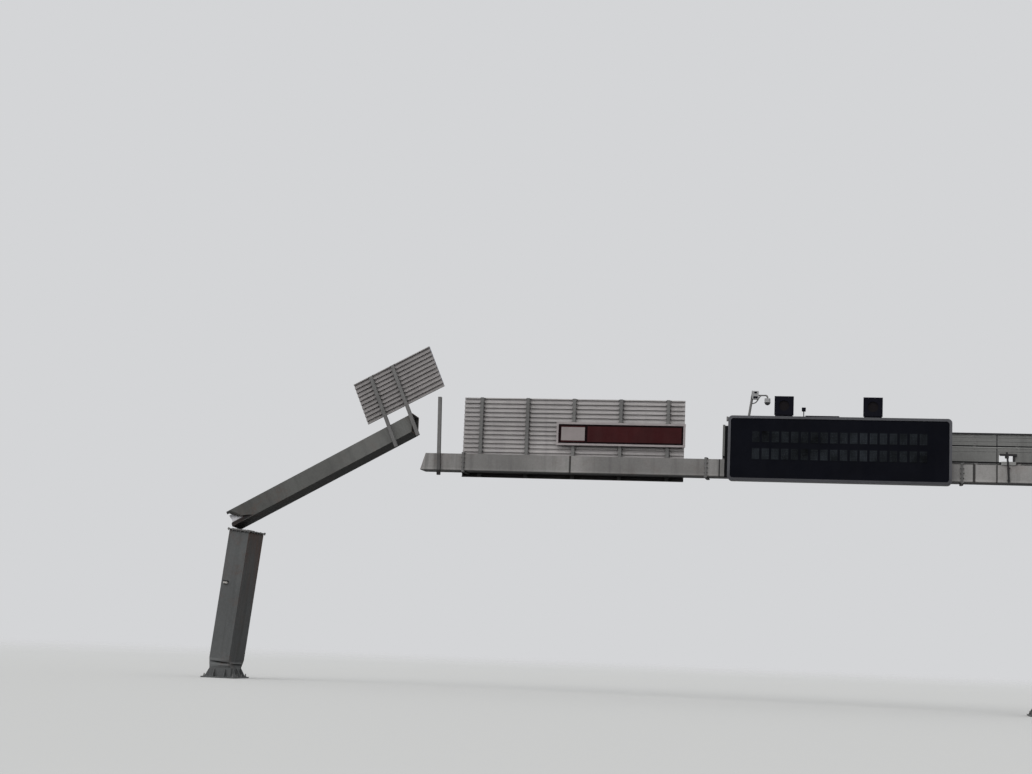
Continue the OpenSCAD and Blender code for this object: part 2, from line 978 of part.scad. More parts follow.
// A pressed tray that backs onto the parapet posts
module guard_panel(h) {
    translate([-walk_start, walk_back - guard_t, 0])
        difference() {
            cube([walk_l, guard_t, h]);
            translate([guard_sheet, guard_sheet, guard_sheet])
                cube([walk_l - 2 * guard_sheet, guard_t, h - 2 * guard_sheet]);
        }
}

module parapet_lower_panel() {
    color(shade_steel)
        translate([0, 0, guard_low_z])
            difference() {
                guard_panel(guard_low_h);
                translate([-notch_mid - notch_w / 2, walk_back - guard_t - cut, -cut])
                    cube([notch_w, guard_t + 2 * cut, notch_h - guard_toe + cut]);
            }
}

module parapet_upper_panel() {
    color(shade_steel)
        translate([0, 0, guard_high_z])
            guard_panel(guard_high_h);
}

module walkway_end_panels() {
    color(shade_steel)
        for (x = [-walk_start, walk_end - guard_sheet])
            translate([x, beam_front, floor_top])
                cube([guard_sheet, beam_d + walk_over - guard_t, guard_top - floor_top]);
}

module right_leg_lower() {
    color(steel)
        translate([0, 0, foot_t])
            leg_shell(leg_joint_low - foot_t);
}

module right_leg_upper() {
    color(steel)
        translate([0, 0, upper_leg_z])
            leg_shell(leg_head_z - upper_leg_z);
}

module right_leg_flanges() {
    color(pale_steel) {
        translate([0, 0, leg_joint_low])
            leg_flange();
        translate([0, 0, leg_joint_z])
            leg_flange();
        translate([0, 0, leg_head_z])
            leg_flange();
    }
}

module right_base_plate() {
    color(steel)
        base_plate();
}

module right_base_ribs() {
    color(steel)
        base_ribs();
}

left_base_plate();
left_base_ribs();
left_leg_stub();
left_leg_fold();
left_leg();
left_leg_flange();
torn_seat_plate();
broken_beam();
small_sign_planks();
small_sign_face();
small_sign_posts();
lone_post();
beam_stub();
beam_section(2);  // beam_section_left
beam_section(1);  // beam_section_middle
beam_section_right();
beam_flanges_left();
beam_flanges_right();
beam_end_cap();
large_sign_posts();
large_sign_planks();
large_sign_face();
board_rails();
board_frame();
board_panel();
message_sign_posts();
message_sign_housing();
message_sign_frame();
message_sign_display();
message_sign_doors();
lantern_boxes();
lantern_lenses();
light_sensor();
cable_tray();
camera_pole();
camera_hood();
camera_dome();
walkway_bearers();
walkway_floor();
parapet_posts();
parapet_lower_panel();
parapet_upper_panel();
walkway_end_panels();
right_leg_lower();
right_leg_upper();
right_leg_flanges();
right_base_plate();
right_base_ribs();
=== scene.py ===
"""Looks of an overhead sign gantry: finishes, fasteners, display cells, torn steel and the stage."""
import math
import random

import bmesh
import bpy
from bpy.props import FloatProperty, FloatVectorProperty, IntProperty, PointerProperty
from mathutils import Matrix, Vector


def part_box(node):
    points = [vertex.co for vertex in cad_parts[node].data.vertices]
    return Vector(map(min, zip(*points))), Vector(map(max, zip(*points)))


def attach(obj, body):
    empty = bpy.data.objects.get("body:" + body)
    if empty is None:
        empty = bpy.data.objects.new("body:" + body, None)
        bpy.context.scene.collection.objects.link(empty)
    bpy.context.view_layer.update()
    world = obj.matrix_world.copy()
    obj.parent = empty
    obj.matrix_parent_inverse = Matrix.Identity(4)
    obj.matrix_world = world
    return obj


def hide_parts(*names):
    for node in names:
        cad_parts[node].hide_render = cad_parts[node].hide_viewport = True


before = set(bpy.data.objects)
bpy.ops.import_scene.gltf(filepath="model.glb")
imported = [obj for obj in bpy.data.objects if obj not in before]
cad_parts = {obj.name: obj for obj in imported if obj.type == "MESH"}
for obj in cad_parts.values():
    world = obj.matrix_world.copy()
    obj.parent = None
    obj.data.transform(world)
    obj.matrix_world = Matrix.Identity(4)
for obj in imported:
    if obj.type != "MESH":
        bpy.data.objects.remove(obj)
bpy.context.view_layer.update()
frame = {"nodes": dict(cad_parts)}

bl_info = {
    "name": "Overhead sign gantry",
    "version": (1, 0, 0),
    "blender": (4, 5, 0),
    "location": "View3D > Sidebar > Gantry",
    "description": "Dresses a road sign gantry with its finishes, fasteners and damage",
    "category": "Object",
}

BODY = "root"

# Space left behind a piece that lies against a solid, and behind a thin strip or sheet
GAP = 0.0003
SHEET_GAP = 0.0002

# Range that most values of a noise fall in
USUAL = (0.3, 0.7)


# Sizes and colours


def paint(red, green, blue):
    """Turns a screen colour of 0 to 255 into the linear colour that a shader takes."""
    shares = (value / 255 for value in (red, green, blue))
    return tuple(((v + 0.055) / 1.055) ** 2.4 if v > 0.04 else v / 12.92 for v in shares)


def toned(shade, share):
    """A colour made darker, or brighter where the share is over one."""
    return tuple(share * c for c in shade)


def length(name, description, default, low=0.0):
    """A size in metres."""
    return FloatProperty(name=name, description=description, default=default, min=low, unit="LENGTH",
                         precision=4)


def turn(name, description, default):
    """An angle, given in degrees."""
    return FloatProperty(name=name, description=description, default=math.radians(default), subtype="ANGLE",
                         unit="ROTATION")


def colour(name, description, default):
    """A linear colour, given as a screen colour."""
    return FloatVectorProperty(name=name, description=description, default=paint(*default), subtype="COLOR",
                               size=3, min=0.0, max=1.0)


def strength(name, description, default):
    """The strength of a light."""
    return FloatProperty(name=name, description=description, default=default, min=0.0)


def number(name, description, default):
    """A whole number of pieces."""
    return IntProperty(name=name, description=description, default=default, min=1)


class GantryFinishes(bpy.types.PropertyGroup):
    """Colours, wear and painted shade of the finishes."""
    beam: colour("Main beam", "Weathered paint of the main beam", (136, 134, 132))
    broken: colour("Broken beam", "Weathered paint of the broken-off piece", (85, 85, 83))
    leg: colour("Legs", "Weathered paint of the legs", (89, 90, 90))
    post: colour("Posts", "Dull zinc of posts, rails and flanges", (110, 109, 108))
    plank: colour("Planks", "Mill finish of the sign planks", (169, 165, 164))
    tilted_plank: colour("Tilted planks", "Dirtier planks of the small sign", (141, 137, 136))
    frame: colour("Board frame", "Mill finish of the tourist board's frame", (153, 146, 146))
    sheet: colour("Sign face", "Reflective sheet on the face of the blue signs", (36, 72, 132))
    border: colour("Sign border", "Pale edge line of the blue signs", (190, 192, 192))
    board: colour("Board", "Reflective sheet of the tourist board", (56, 20, 22))
    plate: colour("Board plate", "Bare pale plate on the tourist board", (138, 130, 129))
    housing: colour("Housing", "Paint of the message sign's housing", (92, 93, 97))
    trim: colour("Front frame", "Paint of the message sign's front frame", (92, 92, 96))
    display: colour("Display", "Matt face of the message sign", (15, 16, 22))
    cell: colour("Cells", "Character cells of the message sign", (33, 36, 40))
    lantern: colour("Lanterns", "Matt backing of the lanterns", (20, 20, 27))
    lens: colour("Lenses", "Unlit amber lens", (25, 22, 24))
    parapet: colour("Parapet", "Dull metal of the parapet panels", (117, 117, 115))
    dark_rail: colour("Parapet rails", "Dark rails of the parapet", (52, 52, 53))
    camera: colour("Camera hood", "Pale plastic of the camera's hood", (150, 150, 150))
    # The torn flap's bright colour: bare metal, with the sky's light painted in.
    bare_metal_and_sky_light: colour("Torn metal", "Bright metal on the torn flap", (178, 178, 181))
    rust: colour("Rust", "Rust at edges and cuts", (94, 58, 40))
    # Sets how dark the dirt patches are, and how dark the painted shade on faces that look down is.
    grime_and_underside_shade: FloatProperty(name="Grime", description="How dark undersides and streaks are", default=0.9,
                         min=0.0, max=1.0, subtype="FACTOR")


class GantryFasteners(bpy.types.PropertyGroup):
    """Sizes of bolts, nuts and welds."""
    bolt: length("Bolt", "Diameter of a flange bolt's thread", 0.024)
    bolt_head: length("Bolt head", "Width across the flats of a flange bolt", 0.036)
    bolt_pitch: length("Bolt pitch", "Spacing of the flange bolts", 0.15, 0.05)
    anchor: length("Anchor", "Diameter of a foundation bolt's thread", 0.036)
    anchor_nut: length("Anchor nut", "Width across the flats of a foundation nut", 0.055)
    clip_head: length("Clip bolt", "Width across the flats of a plank clip's bolt", 0.019)
    weld: length("Weld", "Width of a weld bead", 0.014)


class GantryDisplay(bpy.types.PropertyGroup):
    """Cells of the message sign."""
    columns: number("Columns", "Characters in a row", 18)
    rows: number("Rows", "Rows of characters", 2)
    column_pitch: length("Column pitch", "Distance between two characters", 0.2748)
    row_pitch: length("Row pitch", "Distance between two rows", 0.49)
    cell_width: length("Cell width", "Width of one character cell", 0.214)
    cell_height: length("Cell height", "Height of one character cell", 0.32)
    cell_depth: length("Cell depth", "How far a cell stands proud of the display", 0.006)
    dot: length("Dot", "Diameter of one lamp", 0.026)
    left: length("Left", "Distance from the sign's left end to the first character's middle", 0.795)
    low: length("Low", "Height of the lower row's middle over the sign's lower edge", 0.77)


class GantryDamage(bpy.types.PropertyGroup):
    """Where the struck leg and the broken beam lie."""
    foot: length("Foot", "Distance from the right foot to the struck foot", 23.92)
    fold: length("Fold", "Height of the fold in the struck leg", 0.3)
    crumple: length("Crumple", "Length of the crumpled zone", 0.26)
    lean: turn("Lean", "Lean of the struck leg", 5.7)
    twist: turn("Twist", "Twist of the struck leg", 10)
    shaft: length("Shaft", "Length of the struck leg over the fold", 4.13)
    flange: length("Flange", "Thickness of a leg's flange", 0.03)
    bearing: length("Bearing", "Distance from the leg's axis to the broken beam's end", 0.325)
    tilt: turn("Tilt", "Slope of the broken beam", 28.8)
    roll: turn("Roll", "Roll of the broken beam about the edge it rests on", 4.5)
    rest: length("Rest", "Distance from the gantry's middle plane to the edge that the beam rests on", 0.32)
    wall: length("Wall", "Plate thickness of the beam", 0.016)
    tear: length("Tear", "Length of the tear in the near web", 0.75)
    flap: turn("Flap", "How far the flap under the tear is pushed inwards", 20)
    cut_end: length("Cut end", "Length of the broken piece along its underside", 6.22)
    slant: length("Slant", "How much longer the broken piece is at its top", 0.26)


class GantrySigns(bpy.types.PropertyGroup):
    """The plank signs, their posts and the openings in the walkway."""
    pitch: length("Plank pitch", "Distance between two planks", 0.134, 0.05)
    lip: length("Plank lip", "Height of a plank's rear lip", 0.03)
    post: length("Post", "Width of a post", 0.1)
    start: length("Small sign", "Distance from the small sign's corner to the broken piece's upper end", 1.11)
    rise: length("Rise", "Height of the small sign's corner over the beam's underside", 0.845)
    turned: turn("Turn", "Turn of the small sign against the broken beam", 1.2)
    rack: turn("Rack", "Rack of the small sign", 3.2)
    rows: number("Small sign's planks", "Number of planks in the small sign", 10)
    post_start: length("First post", "Distance from the first post's foot to the piece's upper end", 0.6)
    post_pitch: length("Second post", "Distance from the first post to the second", 0.74)
    drop: length("Post foot", "How far the posts reach below the beam", 0.21)
    hatch: length("Hatch", "Distance from the right leg's middle to the hatch's middle", 1.115)
    hatch_width: length("Hatch width", "Width of the hatch in the walkway", 0.4)
    hatch_rim: length("Hatch rim", "Strip of floor left behind the hatch", 0.1)
    notch: length("Notch", "Height of the notch over the walkway's floor", 0.29)


class GantryStage(bpy.types.PropertyGroup):
    """Camera, light and floor."""
    lens: FloatProperty(name="Lens", description="Focal length in millimetres", default=62.79, min=1)
    place: FloatVectorProperty(name="Camera place", description="Where the camera stands", size=3,
                               default=(-4.76, -52.25, 1.5), subtype="TRANSLATION", unit="LENGTH")
    yaw: turn("Yaw", "Turn of the camera to the left", 11.45)
    pitch: turn("Pitch", "Rise of the camera's view", 7.98)
    roll: turn("Roll", "Roll of the camera", 2.41)
    backdrop: colour("Backdrop", "What lies behind the gantry", (212, 213, 215))
    floor: colour("Floor", "Pale floor", (166, 166, 165))
    ground: colour("Ground light", "What the floor sends back up", (22, 22, 21))
    sky: strength("Sky", "Strength of the light from overhead", 1.45)
    rim: strength("Horizon", "Strength of the light from the horizon", 0.95)
    sun: strength("Lamp", "Strength of the soft lamp", 1.2)
    sun_size: turn("Lamp size", "Angle that the soft lamp fills", 50)


def finishes():
    return bpy.context.scene.gantry_finishes


def fasteners():
    return bpy.context.scene.gantry_fasteners


def damage():
    return bpy.context.scene.gantry_damage


def signs():
    return bpy.context.scene.gantry_signs


# Node trees


class Nodes:
    """Builds a node tree from short calls."""

    def __init__(self, tree):
        self.tree = tree
        tree.nodes.clear()

    def fill(self, socket, value):
        """Gives an input its value, or links another node's output to it."""
        if isinstance(value, bpy.types.NodeSocket):
            self.tree.links.new(value, socket)
        else:
            socket.default_value = value

    def add(self, kind, inputs=None, **options):
        """Adds a node, sets its options and fills its inputs."""
        node = self.tree.nodes.new(kind)
        for key, value in options.items():
            setattr(node, key, value)
        for key, value in (inputs or {}).items():
            self.fill(node.inputs[key], value)
        return node

    def out(self, kind, inputs=None, socket=0, **options):
        """Adds a node and returns one of its outputs."""
        return self.add(kind, inputs, **options).outputs[socket]

    def math(self, operation, first, second=0.0):
        return self.out("ShaderNodeMath", {0: first, 1: second}, operation=operation)

    def times(self, first, second):
        return self.math("MULTIPLY", first, second)

    def plus(self, first, second):
        return self.math("ADD", first, second)

    def less(self, first, second):
        return self.math("SUBTRACT", first, second)

    def vector(self, x=0.0, y=0.0, z=0.0):
        return self.out("ShaderNodeCombineXYZ", {0: x, 1: y, 2: z})

    def parts(self, place):
        """The three coordinates of a place."""
        return self.add("ShaderNodeSeparateXYZ", {0: place}).outputs

    def span(self, value, low, high, to_low=0.0, to_high=1.0, smooth=False):
        """Maps a range onto another and stays inside it."""
        return self.out("ShaderNodeMapRange", {"Value": value, "From Min": low, "From Max": high,
                                               "To Min": to_low, "To Max": to_high},
                        interpolation_type="SMOOTHSTEP" if smooth else "LINEAR", clamp=True)

    def blend(self, share, first, second, kind="MIX"):
        """Mixes two colours, each a colour or another node's output."""
        node = self.add("ShaderNodeMix", data_type="RGBA", blend_type=kind)
        self.fill(node.inputs["Factor"], share)
        for socket, shade in ((node.inputs[6], first), (node.inputs[7], second)):
            self.fill(socket, shade if isinstance(shade, bpy.types.NodeSocket) else (*shade, 1.0))
        return node.outputs[2]

    def grey(self, shade, tone):
        """Multiplies a colour with one number."""
        even = self.out("ShaderNodeCombineColor", {0: tone, 1: tone, 2: tone})
        return self.blend(1.0, shade, even, "MULTIPLY")

    def noise(self, place, scale, detail=3.0, roughness=0.55):
        return self.out("ShaderNodeTexNoise", {"Vector": place, "Scale": scale, "Detail": detail,
                                               "Roughness": roughness}, "Fac")

    def streaky(self, place, scale, detail, roughness=0.55):
        """Noise whose scale along each axis differs, so that it runs long along one of them."""
        stretched = self.out("ShaderNodeMapping", {"Vector": place, "Scale": scale})
        return self.noise(stretched, 1.0, detail, roughness)


def new_material(name):
    """Starts a material and returns the builder of its nodes."""
    made = bpy.data.materials.new(name)
    made.use_nodes = True
    return Nodes(made.node_tree)


def object_place(n, turned=None):
    """The point on the object, or the same point measured along a tilted piece."""
    place = n.out("ShaderNodeTexCoord", socket="Object")
    if turned is None:
        return place
    inverse = turned.inverted()
    return n.out("ShaderNodeMapping", {"Vector": place, "Location": inverse.to_translation(),
                                       "Rotation": inverse.to_euler("XYZ")}, vector_type="POINT")


def end_material(n, shade, rough, relief, depth, specular, coat=0.0):
    """Ends a material with its shader, roughness and bump."""
    bump = n.out("ShaderNodeBump", {"Strength": 0.6, "Distance": depth, "Height": relief})
    shader = n.out("ShaderNodeBsdfPrincipled", {"Base Color": shade, "Roughness": rough,
                                                "Specular IOR Level": specular, "Coat Weight": coat,
                                                "Coat Roughness": 0.25, "Normal": bump})
    n.add("ShaderNodeOutputMaterial", {"Surface": shader})


def weathered_metal_with_shade(name, base, turned=None, patch=0.16, streak=0.22, rust=0.0, spangle=0.05, underside_shade=1.0,
                    roughness=0.62, weather_and_shade=None):
    """Outdoor steel: cloudy patches, rain streaks, zinc spangle, painted shade on faces that look down, and
    specks of rust.
    weather_and_shade changes the colour further, with more weather and painted shade, from the builder, the
    place and the colour so far."""
    n = new_material(name)
    f = finishes()
    place = object_place(n, turned)
    cloud = n.span(n.noise(place, scale=0.7, detail=4.0), *USUAL, 1 - patch, 1 + patch * 0.6)
    fine = n.span(n.noise(place, scale=14.0, detail=5.0, roughness=0.7), *USUAL, 0.94, 1.05)
    crystals = n.out("ShaderNodeTexVoronoi", {"Vector": place, "Scale": 38.0}, "Color")
    chance = n.out("ShaderNodeSeparateColor", {0: crystals})
    tone = n.times(n.times(cloud, fine), n.span(chance, 0.0, 1.0, 1 - spangle, 1 + spangle))
    long_noise = n.streaky(place, scale=(5.0, 5.0, 0.35), detail=4.0, roughness=0.6)
    streaks = n.span(long_noise, 0.5, 0.72, 0.0, streak)
    tone = n.times(tone, n.less(1.0, streaks))
    # Painted shade: faces that look down are painted darker, as strongly as underside_shade and the grime
    # setting say.
    up = n.parts(n.out("ShaderNodeTexCoord", socket="Normal"))["Z"]
    tone = n.times(tone, n.span(up, -0.9, -0.4, 1 - underside_shade * f.grime_and_underside_shade, 1.0))
    shade = n.grey(base, tone)
    dirt = n.span(n.noise(place, scale=2.3, detail=6.0, roughness=0.7), 0.55, 0.75, 0.0, 0.35)
    shade = n.blend(n.times(dirt, f.grime_and_underside_shade), shade, toned(base, 0.55))
    if weather_and_shade is not None:
        shade = weather_and_shade(n, place, shade)
    if rust:
        specks = n.times(n.span(n.noise(place, scale=1.7, detail=5.0, roughness=0.6), 0.52, 0.7),
                         n.span(n.noise(place, scale=19.0, detail=4.0, roughness=0.7), 0.4, 0.7))
        shade = n.blend(n.times(specks, rust), shade, f.rust)
    rough = n.span(n.noise(place, scale=26.0, detail=4.0), *USUAL, roughness - 0.1, roughness + 0.12)
    grains = n.noise(place, scale=60.0, detail=4.0)
    relief = n.plus(grains, n.times(n.noise(place, scale=3.0, detail=2.0), 2.0))
    end_material(n, shade, rough, relief, depth=0.0015, specular=0.08)


def plain_plastic(name, base, roughness=0.5, grain=220.0, mottle=0.12, coat=0.0, dust=0.0, specular=0.3,
                  cloud=1.6):
    """Painted or moulded surface with fine grain, faint mottling and a little dust."""
    n = new_material(name)
    place = object_place(n)
    shade = n.grey(base, n.span(n.noise(place, scale=cloud, detail=5.0), *USUAL, 1 - mottle, 1 + mottle))
    if dust:
        film = n.span(n.streaky(place, scale=(3.0, 3.0, 0.6), detail=5.0, roughness=0.65),
                      0.4, 0.8, 0.0, dust)
        shade = n.blend(film, shade, paint(110, 108, 104))
    rough = n.span(n.noise(place, scale=9.0, detail=4.0), *USUAL, roughness - 0.06, roughness + 0.1)
    relief = n.noise(place, scale=grain, detail=2.0)
    end_material(n, shade, rough, relief, depth=0.0006, specular=specular, coat=coat)


# Meshes


def circle(radius, count):
    """Points round a circle about nought."""
    turns = (math.tau * k / count for k in range(count))
    return [(radius * math.cos(a), radius * math.sin(a)) for a in turns]


class Shape:
    """Collects closed solids into one mesh."""

    def __init__(self, turned=None):
        self.mesh = bmesh.new()
        self.turned = turned

    def box(self, low, high):
        """An upright box between two corners."""
        low, high = Vector(low), Vector(high)
        placed = Matrix.Translation((low + high) / 2) @ Matrix.Diagonal((*(high - low), 1.0))
        bmesh.ops.create_cube(self.mesh, size=1.0, matrix=placed)
        return self

    def rod(self, start, end, radius, end_radius, sides):
        """A round bar or cone between two points."""
        start, end = Vector(start), Vector(end)
        axis = end - start
        aim = axis.to_track_quat("Z", "Y").to_matrix().to_4x4()
        bmesh.ops.create_cone(self.mesh, cap_ends=True, segments=sides, radius1=radius, radius2=end_radius,
                              depth=axis.length, matrix=Matrix.Translation((start + end) / 2) @ aim)
        return self

    def prism(self, outline, depth, placed):
        """An outline in X and Z, drawn out along Y."""
        near = [self.mesh.verts.new(placed @ Vector((x, 0.0, z))) for x, z in outline]
        far = [self.mesh.verts.new(placed @ Vector((x, depth, z))) for x, z in outline]
        self.mesh.faces.new(near)
        self.mesh.faces.new(far[::-1])
        for i in range(len(near)):
            j = (i + 1) % len(near)
            self.mesh.faces.new((near[j], near[i], far[i], far[j]))
        return self

    def tube(self, points, radius, sides, closed=False):
        """A round bar that follows a path."""
        points = [Vector(p) for p in points]
        last = len(points) - 1
        rings = []
        side = None
        for i, p in enumerate(points):
            before = points[i - 1 if closed or i else 0]
            after = points[(i + 1) % len(points) if closed or i < last else last]
            along = (after - before).normalized()
            side = along.orthogonal().normalized() if side is None else side
            side = (side - along * side.dot(along)).normalized()
            other = along.cross(side)
            turns = (math.tau * k / sides for k in range(sides))
            rings.append([self.mesh.verts.new(p + radius * (math.cos(a) * side + math.sin(a) * other))
                          for a in turns])
        for one, two in zip(rings, rings[1:]):
            self.skin(one, two)
        if closed:
            self.skin(rings[-1], rings[0])
        else:
            self.mesh.faces.new(rings[0][::-1])
            self.mesh.faces.new(rings[-1])
        return self

    def skin(self, one, two):
        """Faces between two rings of equally many corners."""
        for k in range(len(one)):
            m = (k + 1) % len(one)
            self.mesh.faces.new((one[k], one[m], two[m], two[k]))

    def piece(self, name, finish, slot, bevel=0.0, smooth=False, replaces=()):
        """Ends the mesh as a named piece of the gantry."""
        if self.turned is not None:
            self.mesh.transform(self.turned)
        bmesh.ops.recalc_face_normals(self.mesh, faces=self.mesh.faces)
        if bevel:
            sharp = [e for e in self.mesh.edges if e.is_manifold and e.calc_face_angle(0.0) > 0.6]
            bmesh.ops.bevel(self.mesh, geom=sharp, offset=bevel, segments=2, affect="EDGES", profile=0.6)
        data = bpy.data.meshes.new(name)
        self.mesh.to_mesh(data)
        self.mesh.free()
        settle(name, data, finish, smooth, replaces)


def block(name, low, high, finish, slot, bevel=0.0, turned=None):
    """Makes a piece of one box."""
    Shape(turned).box(low, high).piece(name, finish, slot, bevel)


def wear(data, finish):
    """Gives a mesh one finish and no other."""
    data.materials.clear()
    data.materials.append(bpy.data.materials[finish])


def settle(name, data, finish, smooth=False, replaces=()):
    """Names a mesh as a piece, gives it its finish, if one is named, and lets it ride on the gantry."""
    made = bpy.data.objects.new(name, data)
    bpy.context.scene.collection.objects.link(made)
    if finish is not None:
        wear(data, finish)
    for face in data.polygons:
        face.use_smooth = smooth
    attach(made, BODY)
    if replaces:
        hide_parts(*replaces)


def grow(name, tree, start, values, smooth=False, replaces=()):
    """Runs a Geometry Nodes tree on a mesh and keeps what it makes as a plain mesh."""
    carrier = bpy.data.objects.new(name + "_start", start)
    bpy.context.scene.collection.objects.link(carrier)
    modifier = carrier.modifiers.new("grow", "NODES")
    modifier.node_group = tree
    for item in tree.interface.items_tree:
        if item.item_type == "SOCKET" and item.in_out == "INPUT" and item.name in values:
            modifier[item.identifier] = values[item.name]
    carrier.update_tag()
    depsgraph = bpy.context.evaluated_depsgraph_get()
    made = bpy.data.meshes.new_from_object(carrier.evaluated_get(depsgraph))
    if not made.polygons:
        raise RuntimeError(f"{name}: the node tree made no faces")
    carrier.modifiers.remove(modifier)
    bpy.data.objects.remove(carrier)
    settle(name, made, None, smooth, replaces)


# Node trees for what repeats


def new_tree(name, inputs):
    """Starts a Geometry Nodes tree with named inputs, and returns its builder and its input sockets."""
    tree = bpy.data.node_groups.new(name, "GeometryNodeTree")
    kinds = {"length": "NodeSocketFloat", "count": "NodeSocketInt", "vector": "NodeSocketVector",
             "material": "NodeSocketMaterial"}
    tree.interface.new_socket(name="Geometry", in_out="INPUT", socket_type="NodeSocketGeometry")
    for label, kind in inputs.items():
        tree.interface.new_socket(name=label, in_out="INPUT", socket_type=kinds[kind])
    tree.interface.new_socket(name="Geometry", in_out="OUTPUT", socket_type="NodeSocketGeometry")
    n = Nodes(tree)
    return n, n.add("NodeGroupInput").outputs


def painted(n, geometry, material):
    return n.out("GeometryNodeSetMaterial", {"Geometry": geometry, "Material": material})


def copied(n, points, part, **turned):
    """A copy of a part at each point."""
    return n.out("GeometryNodeInstanceOnPoints", {"Points": points, "Instance": part, **turned})


def end_tree(n, geometry, material=None):
    """Makes the copies real, sets their material and ends the tree."""
    real = n.out("GeometryNodeRealizeInstances", {0: geometry})
    n.add("NodeGroupOutput", {0: real if material is None else painted(n, real, material)})
    return n.tree


def join(n, parts):
    node = n.add("GeometryNodeJoinGeometry")
    for part in parts:
        n.tree.links.new(part, node.inputs[0])
    return node.outputs[0]


def bolt_tree():
    """A washer, a hexagon and a thread end at each point, aimed along the point's own direction."""
    n, given = new_tree("bolts", {"Flats": "length", "Head": "length", "Washer": "length", "Thread": "length",
                                  "Reach": "length", "Seed": "count", "Material": "material"})

    def drum(sides, radius, depth, lift):
        body = n.out("GeometryNodeMeshCylinder", {"Vertices": sides, "Radius": radius, "Depth": depth})
        return n.out("GeometryNodeTransform", {"Geometry": body, "Translation": n.vector(z=lift)})

    def half(value):
        return n.times(value, 0.5)

    washer_depth = n.times(given["Washer"], 0.1)
    washer = drum(16, half(given["Washer"]), washer_depth, half(washer_depth))
    corner = n.times(given["Flats"], 0.5 / math.cos(math.pi / 6))
    head = drum(6, corner, given["Head"], n.plus(washer_depth, half(given["Head"])))
    thread = drum(10, half(given["Thread"]), given["Reach"], half(given["Reach"]))
    aim = n.out("GeometryNodeInputNamedAttribute", {"Name": "aim"}, data_type="FLOAT_VECTOR")
    aligned = n.out("FunctionNodeAlignRotationToVector", {"Vector": aim}, axis="Z")
    chance = n.out("FunctionNodeRandomValue", {"Min": 0.0, "Max": math.tau, "Seed": given["Seed"]}, 1,
                   data_type="FLOAT")
    spin = n.out("FunctionNodeAxisAngleToRotation", {"Axis": (0, 0, 1), "Angle": chance})
    turned = n.out("FunctionNodeRotateRotation", {0: aligned, 1: spin}, rotation_space="LOCAL")
    copies = copied(n, given["Geometry"], join(n, (washer, head, thread)), Rotation=turned)
    return end_tree(n, copies, given["Material"])


def bolts(name, places, flats, head, washer, thread, reach, seed):
    """Bolts at places that are given as point and direction."""
    start = bpy.data.meshes.new(name)
    start.from_pydata([tuple(p) for p, _ in places], [], [])
    aim = start.attributes.new("aim", "FLOAT_VECTOR", "POINT")
    for i, (_, direction) in enumerate(places):
        aim.data[i].vector = direction
    tree = bpy.data.node_groups.get("bolts") or bolt_tree()
    grow(name, tree, start, {"Flats": flats, "Head": head, "Washer": washer, "Thread": thread, "Reach": reach,
                             "Seed": seed, "Material": bpy.data.materials["zinc"]})


def bar_tree():
    """A row of equal bars, each one step past the last."""
    n, given = new_tree("bar_row", {"Start": "vector", "Step": "vector", "Count": "count", "Bar": "vector",
                                    "Material": "material"})
    line = n.out("GeometryNodeMeshLine", {"Count": given["Count"], "Start Location": given["Start"],
                                          "Offset": given["Step"]}, mode="OFFSET")
    bar = n.out("GeometryNodeMeshCube", {"Size": given["Bar"]})
    return end_tree(n, copied(n, line, bar), given["Material"])


def bar_row(name, start, step, count, bar, finish, replaces=()):
    """Equal bars in a row, given by the first bar's middle."""
    tree = bpy.data.node_groups.get("bar_row") or bar_tree()
    values = {"Start": start, "Step": step, "Count": count, "Bar": bar,
              "Material": bpy.data.materials[finish]}
    grow(name, tree, bpy.data.meshes.new(name), values, replaces=replaces)


def cell_tree():
    """Character cells in rows and columns, each with its five by seven lamps, facing the viewer."""
    n, given = new_tree("cells", {
        "Columns": "count", "Rows": "count", "Column Pitch": "length", "Row Pitch": "length",
        "Width": "length", "Height": "length", "Depth": "length", "Dot": "length", "Place": "vector",
        "Material": "material", "Dot Material": "material"})
    lamps_across, lamps_down = 5, 7

    def grid(columns, rows, width, height):
        return n.out("GeometryNodeMeshGrid", {"Size X": width, "Size Y": height, "Vertices X": columns,
                                              "Vertices Y": rows})

    def reach(count, pitch):
        return n.times(n.less(given[count], 1.0), given[pitch])

    size = n.vector(given["Width"], given["Height"], given["Depth"])
    back = painted(n, n.out("GeometryNodeMeshCube", {"Size": size}), given["Material"])
    lamps = grid(lamps_across, lamps_down, n.times(given["Width"], 0.74), n.times(given["Height"], 0.8))
    lamp = n.out("GeometryNodeMeshCylinder", {"Vertices": 8, "Radius": n.times(given["Dot"], 0.5),
                                              "Depth": n.times(given["Dot"], 0.4)})
    dots = copied(n, lamps, painted(n, lamp, given["Dot Material"]))
    front = n.vector(z=n.times(given["Depth"], 0.5))
    dots = n.out("GeometryNodeTransform", {"Geometry": dots, "Translation": front})
    spots = grid(given["Columns"], given["Rows"], reach("Columns", "Column Pitch"),
                 reach("Rows", "Row Pitch"))
    cells = copied(n, spots, join(n, (back, dots)))
    return end_tree(n, n.out("GeometryNodeTransform", {"Geometry": cells, "Translation": given["Place"],
                                                       "Rotation": (math.pi / 2, 0.0, 0.0)}))


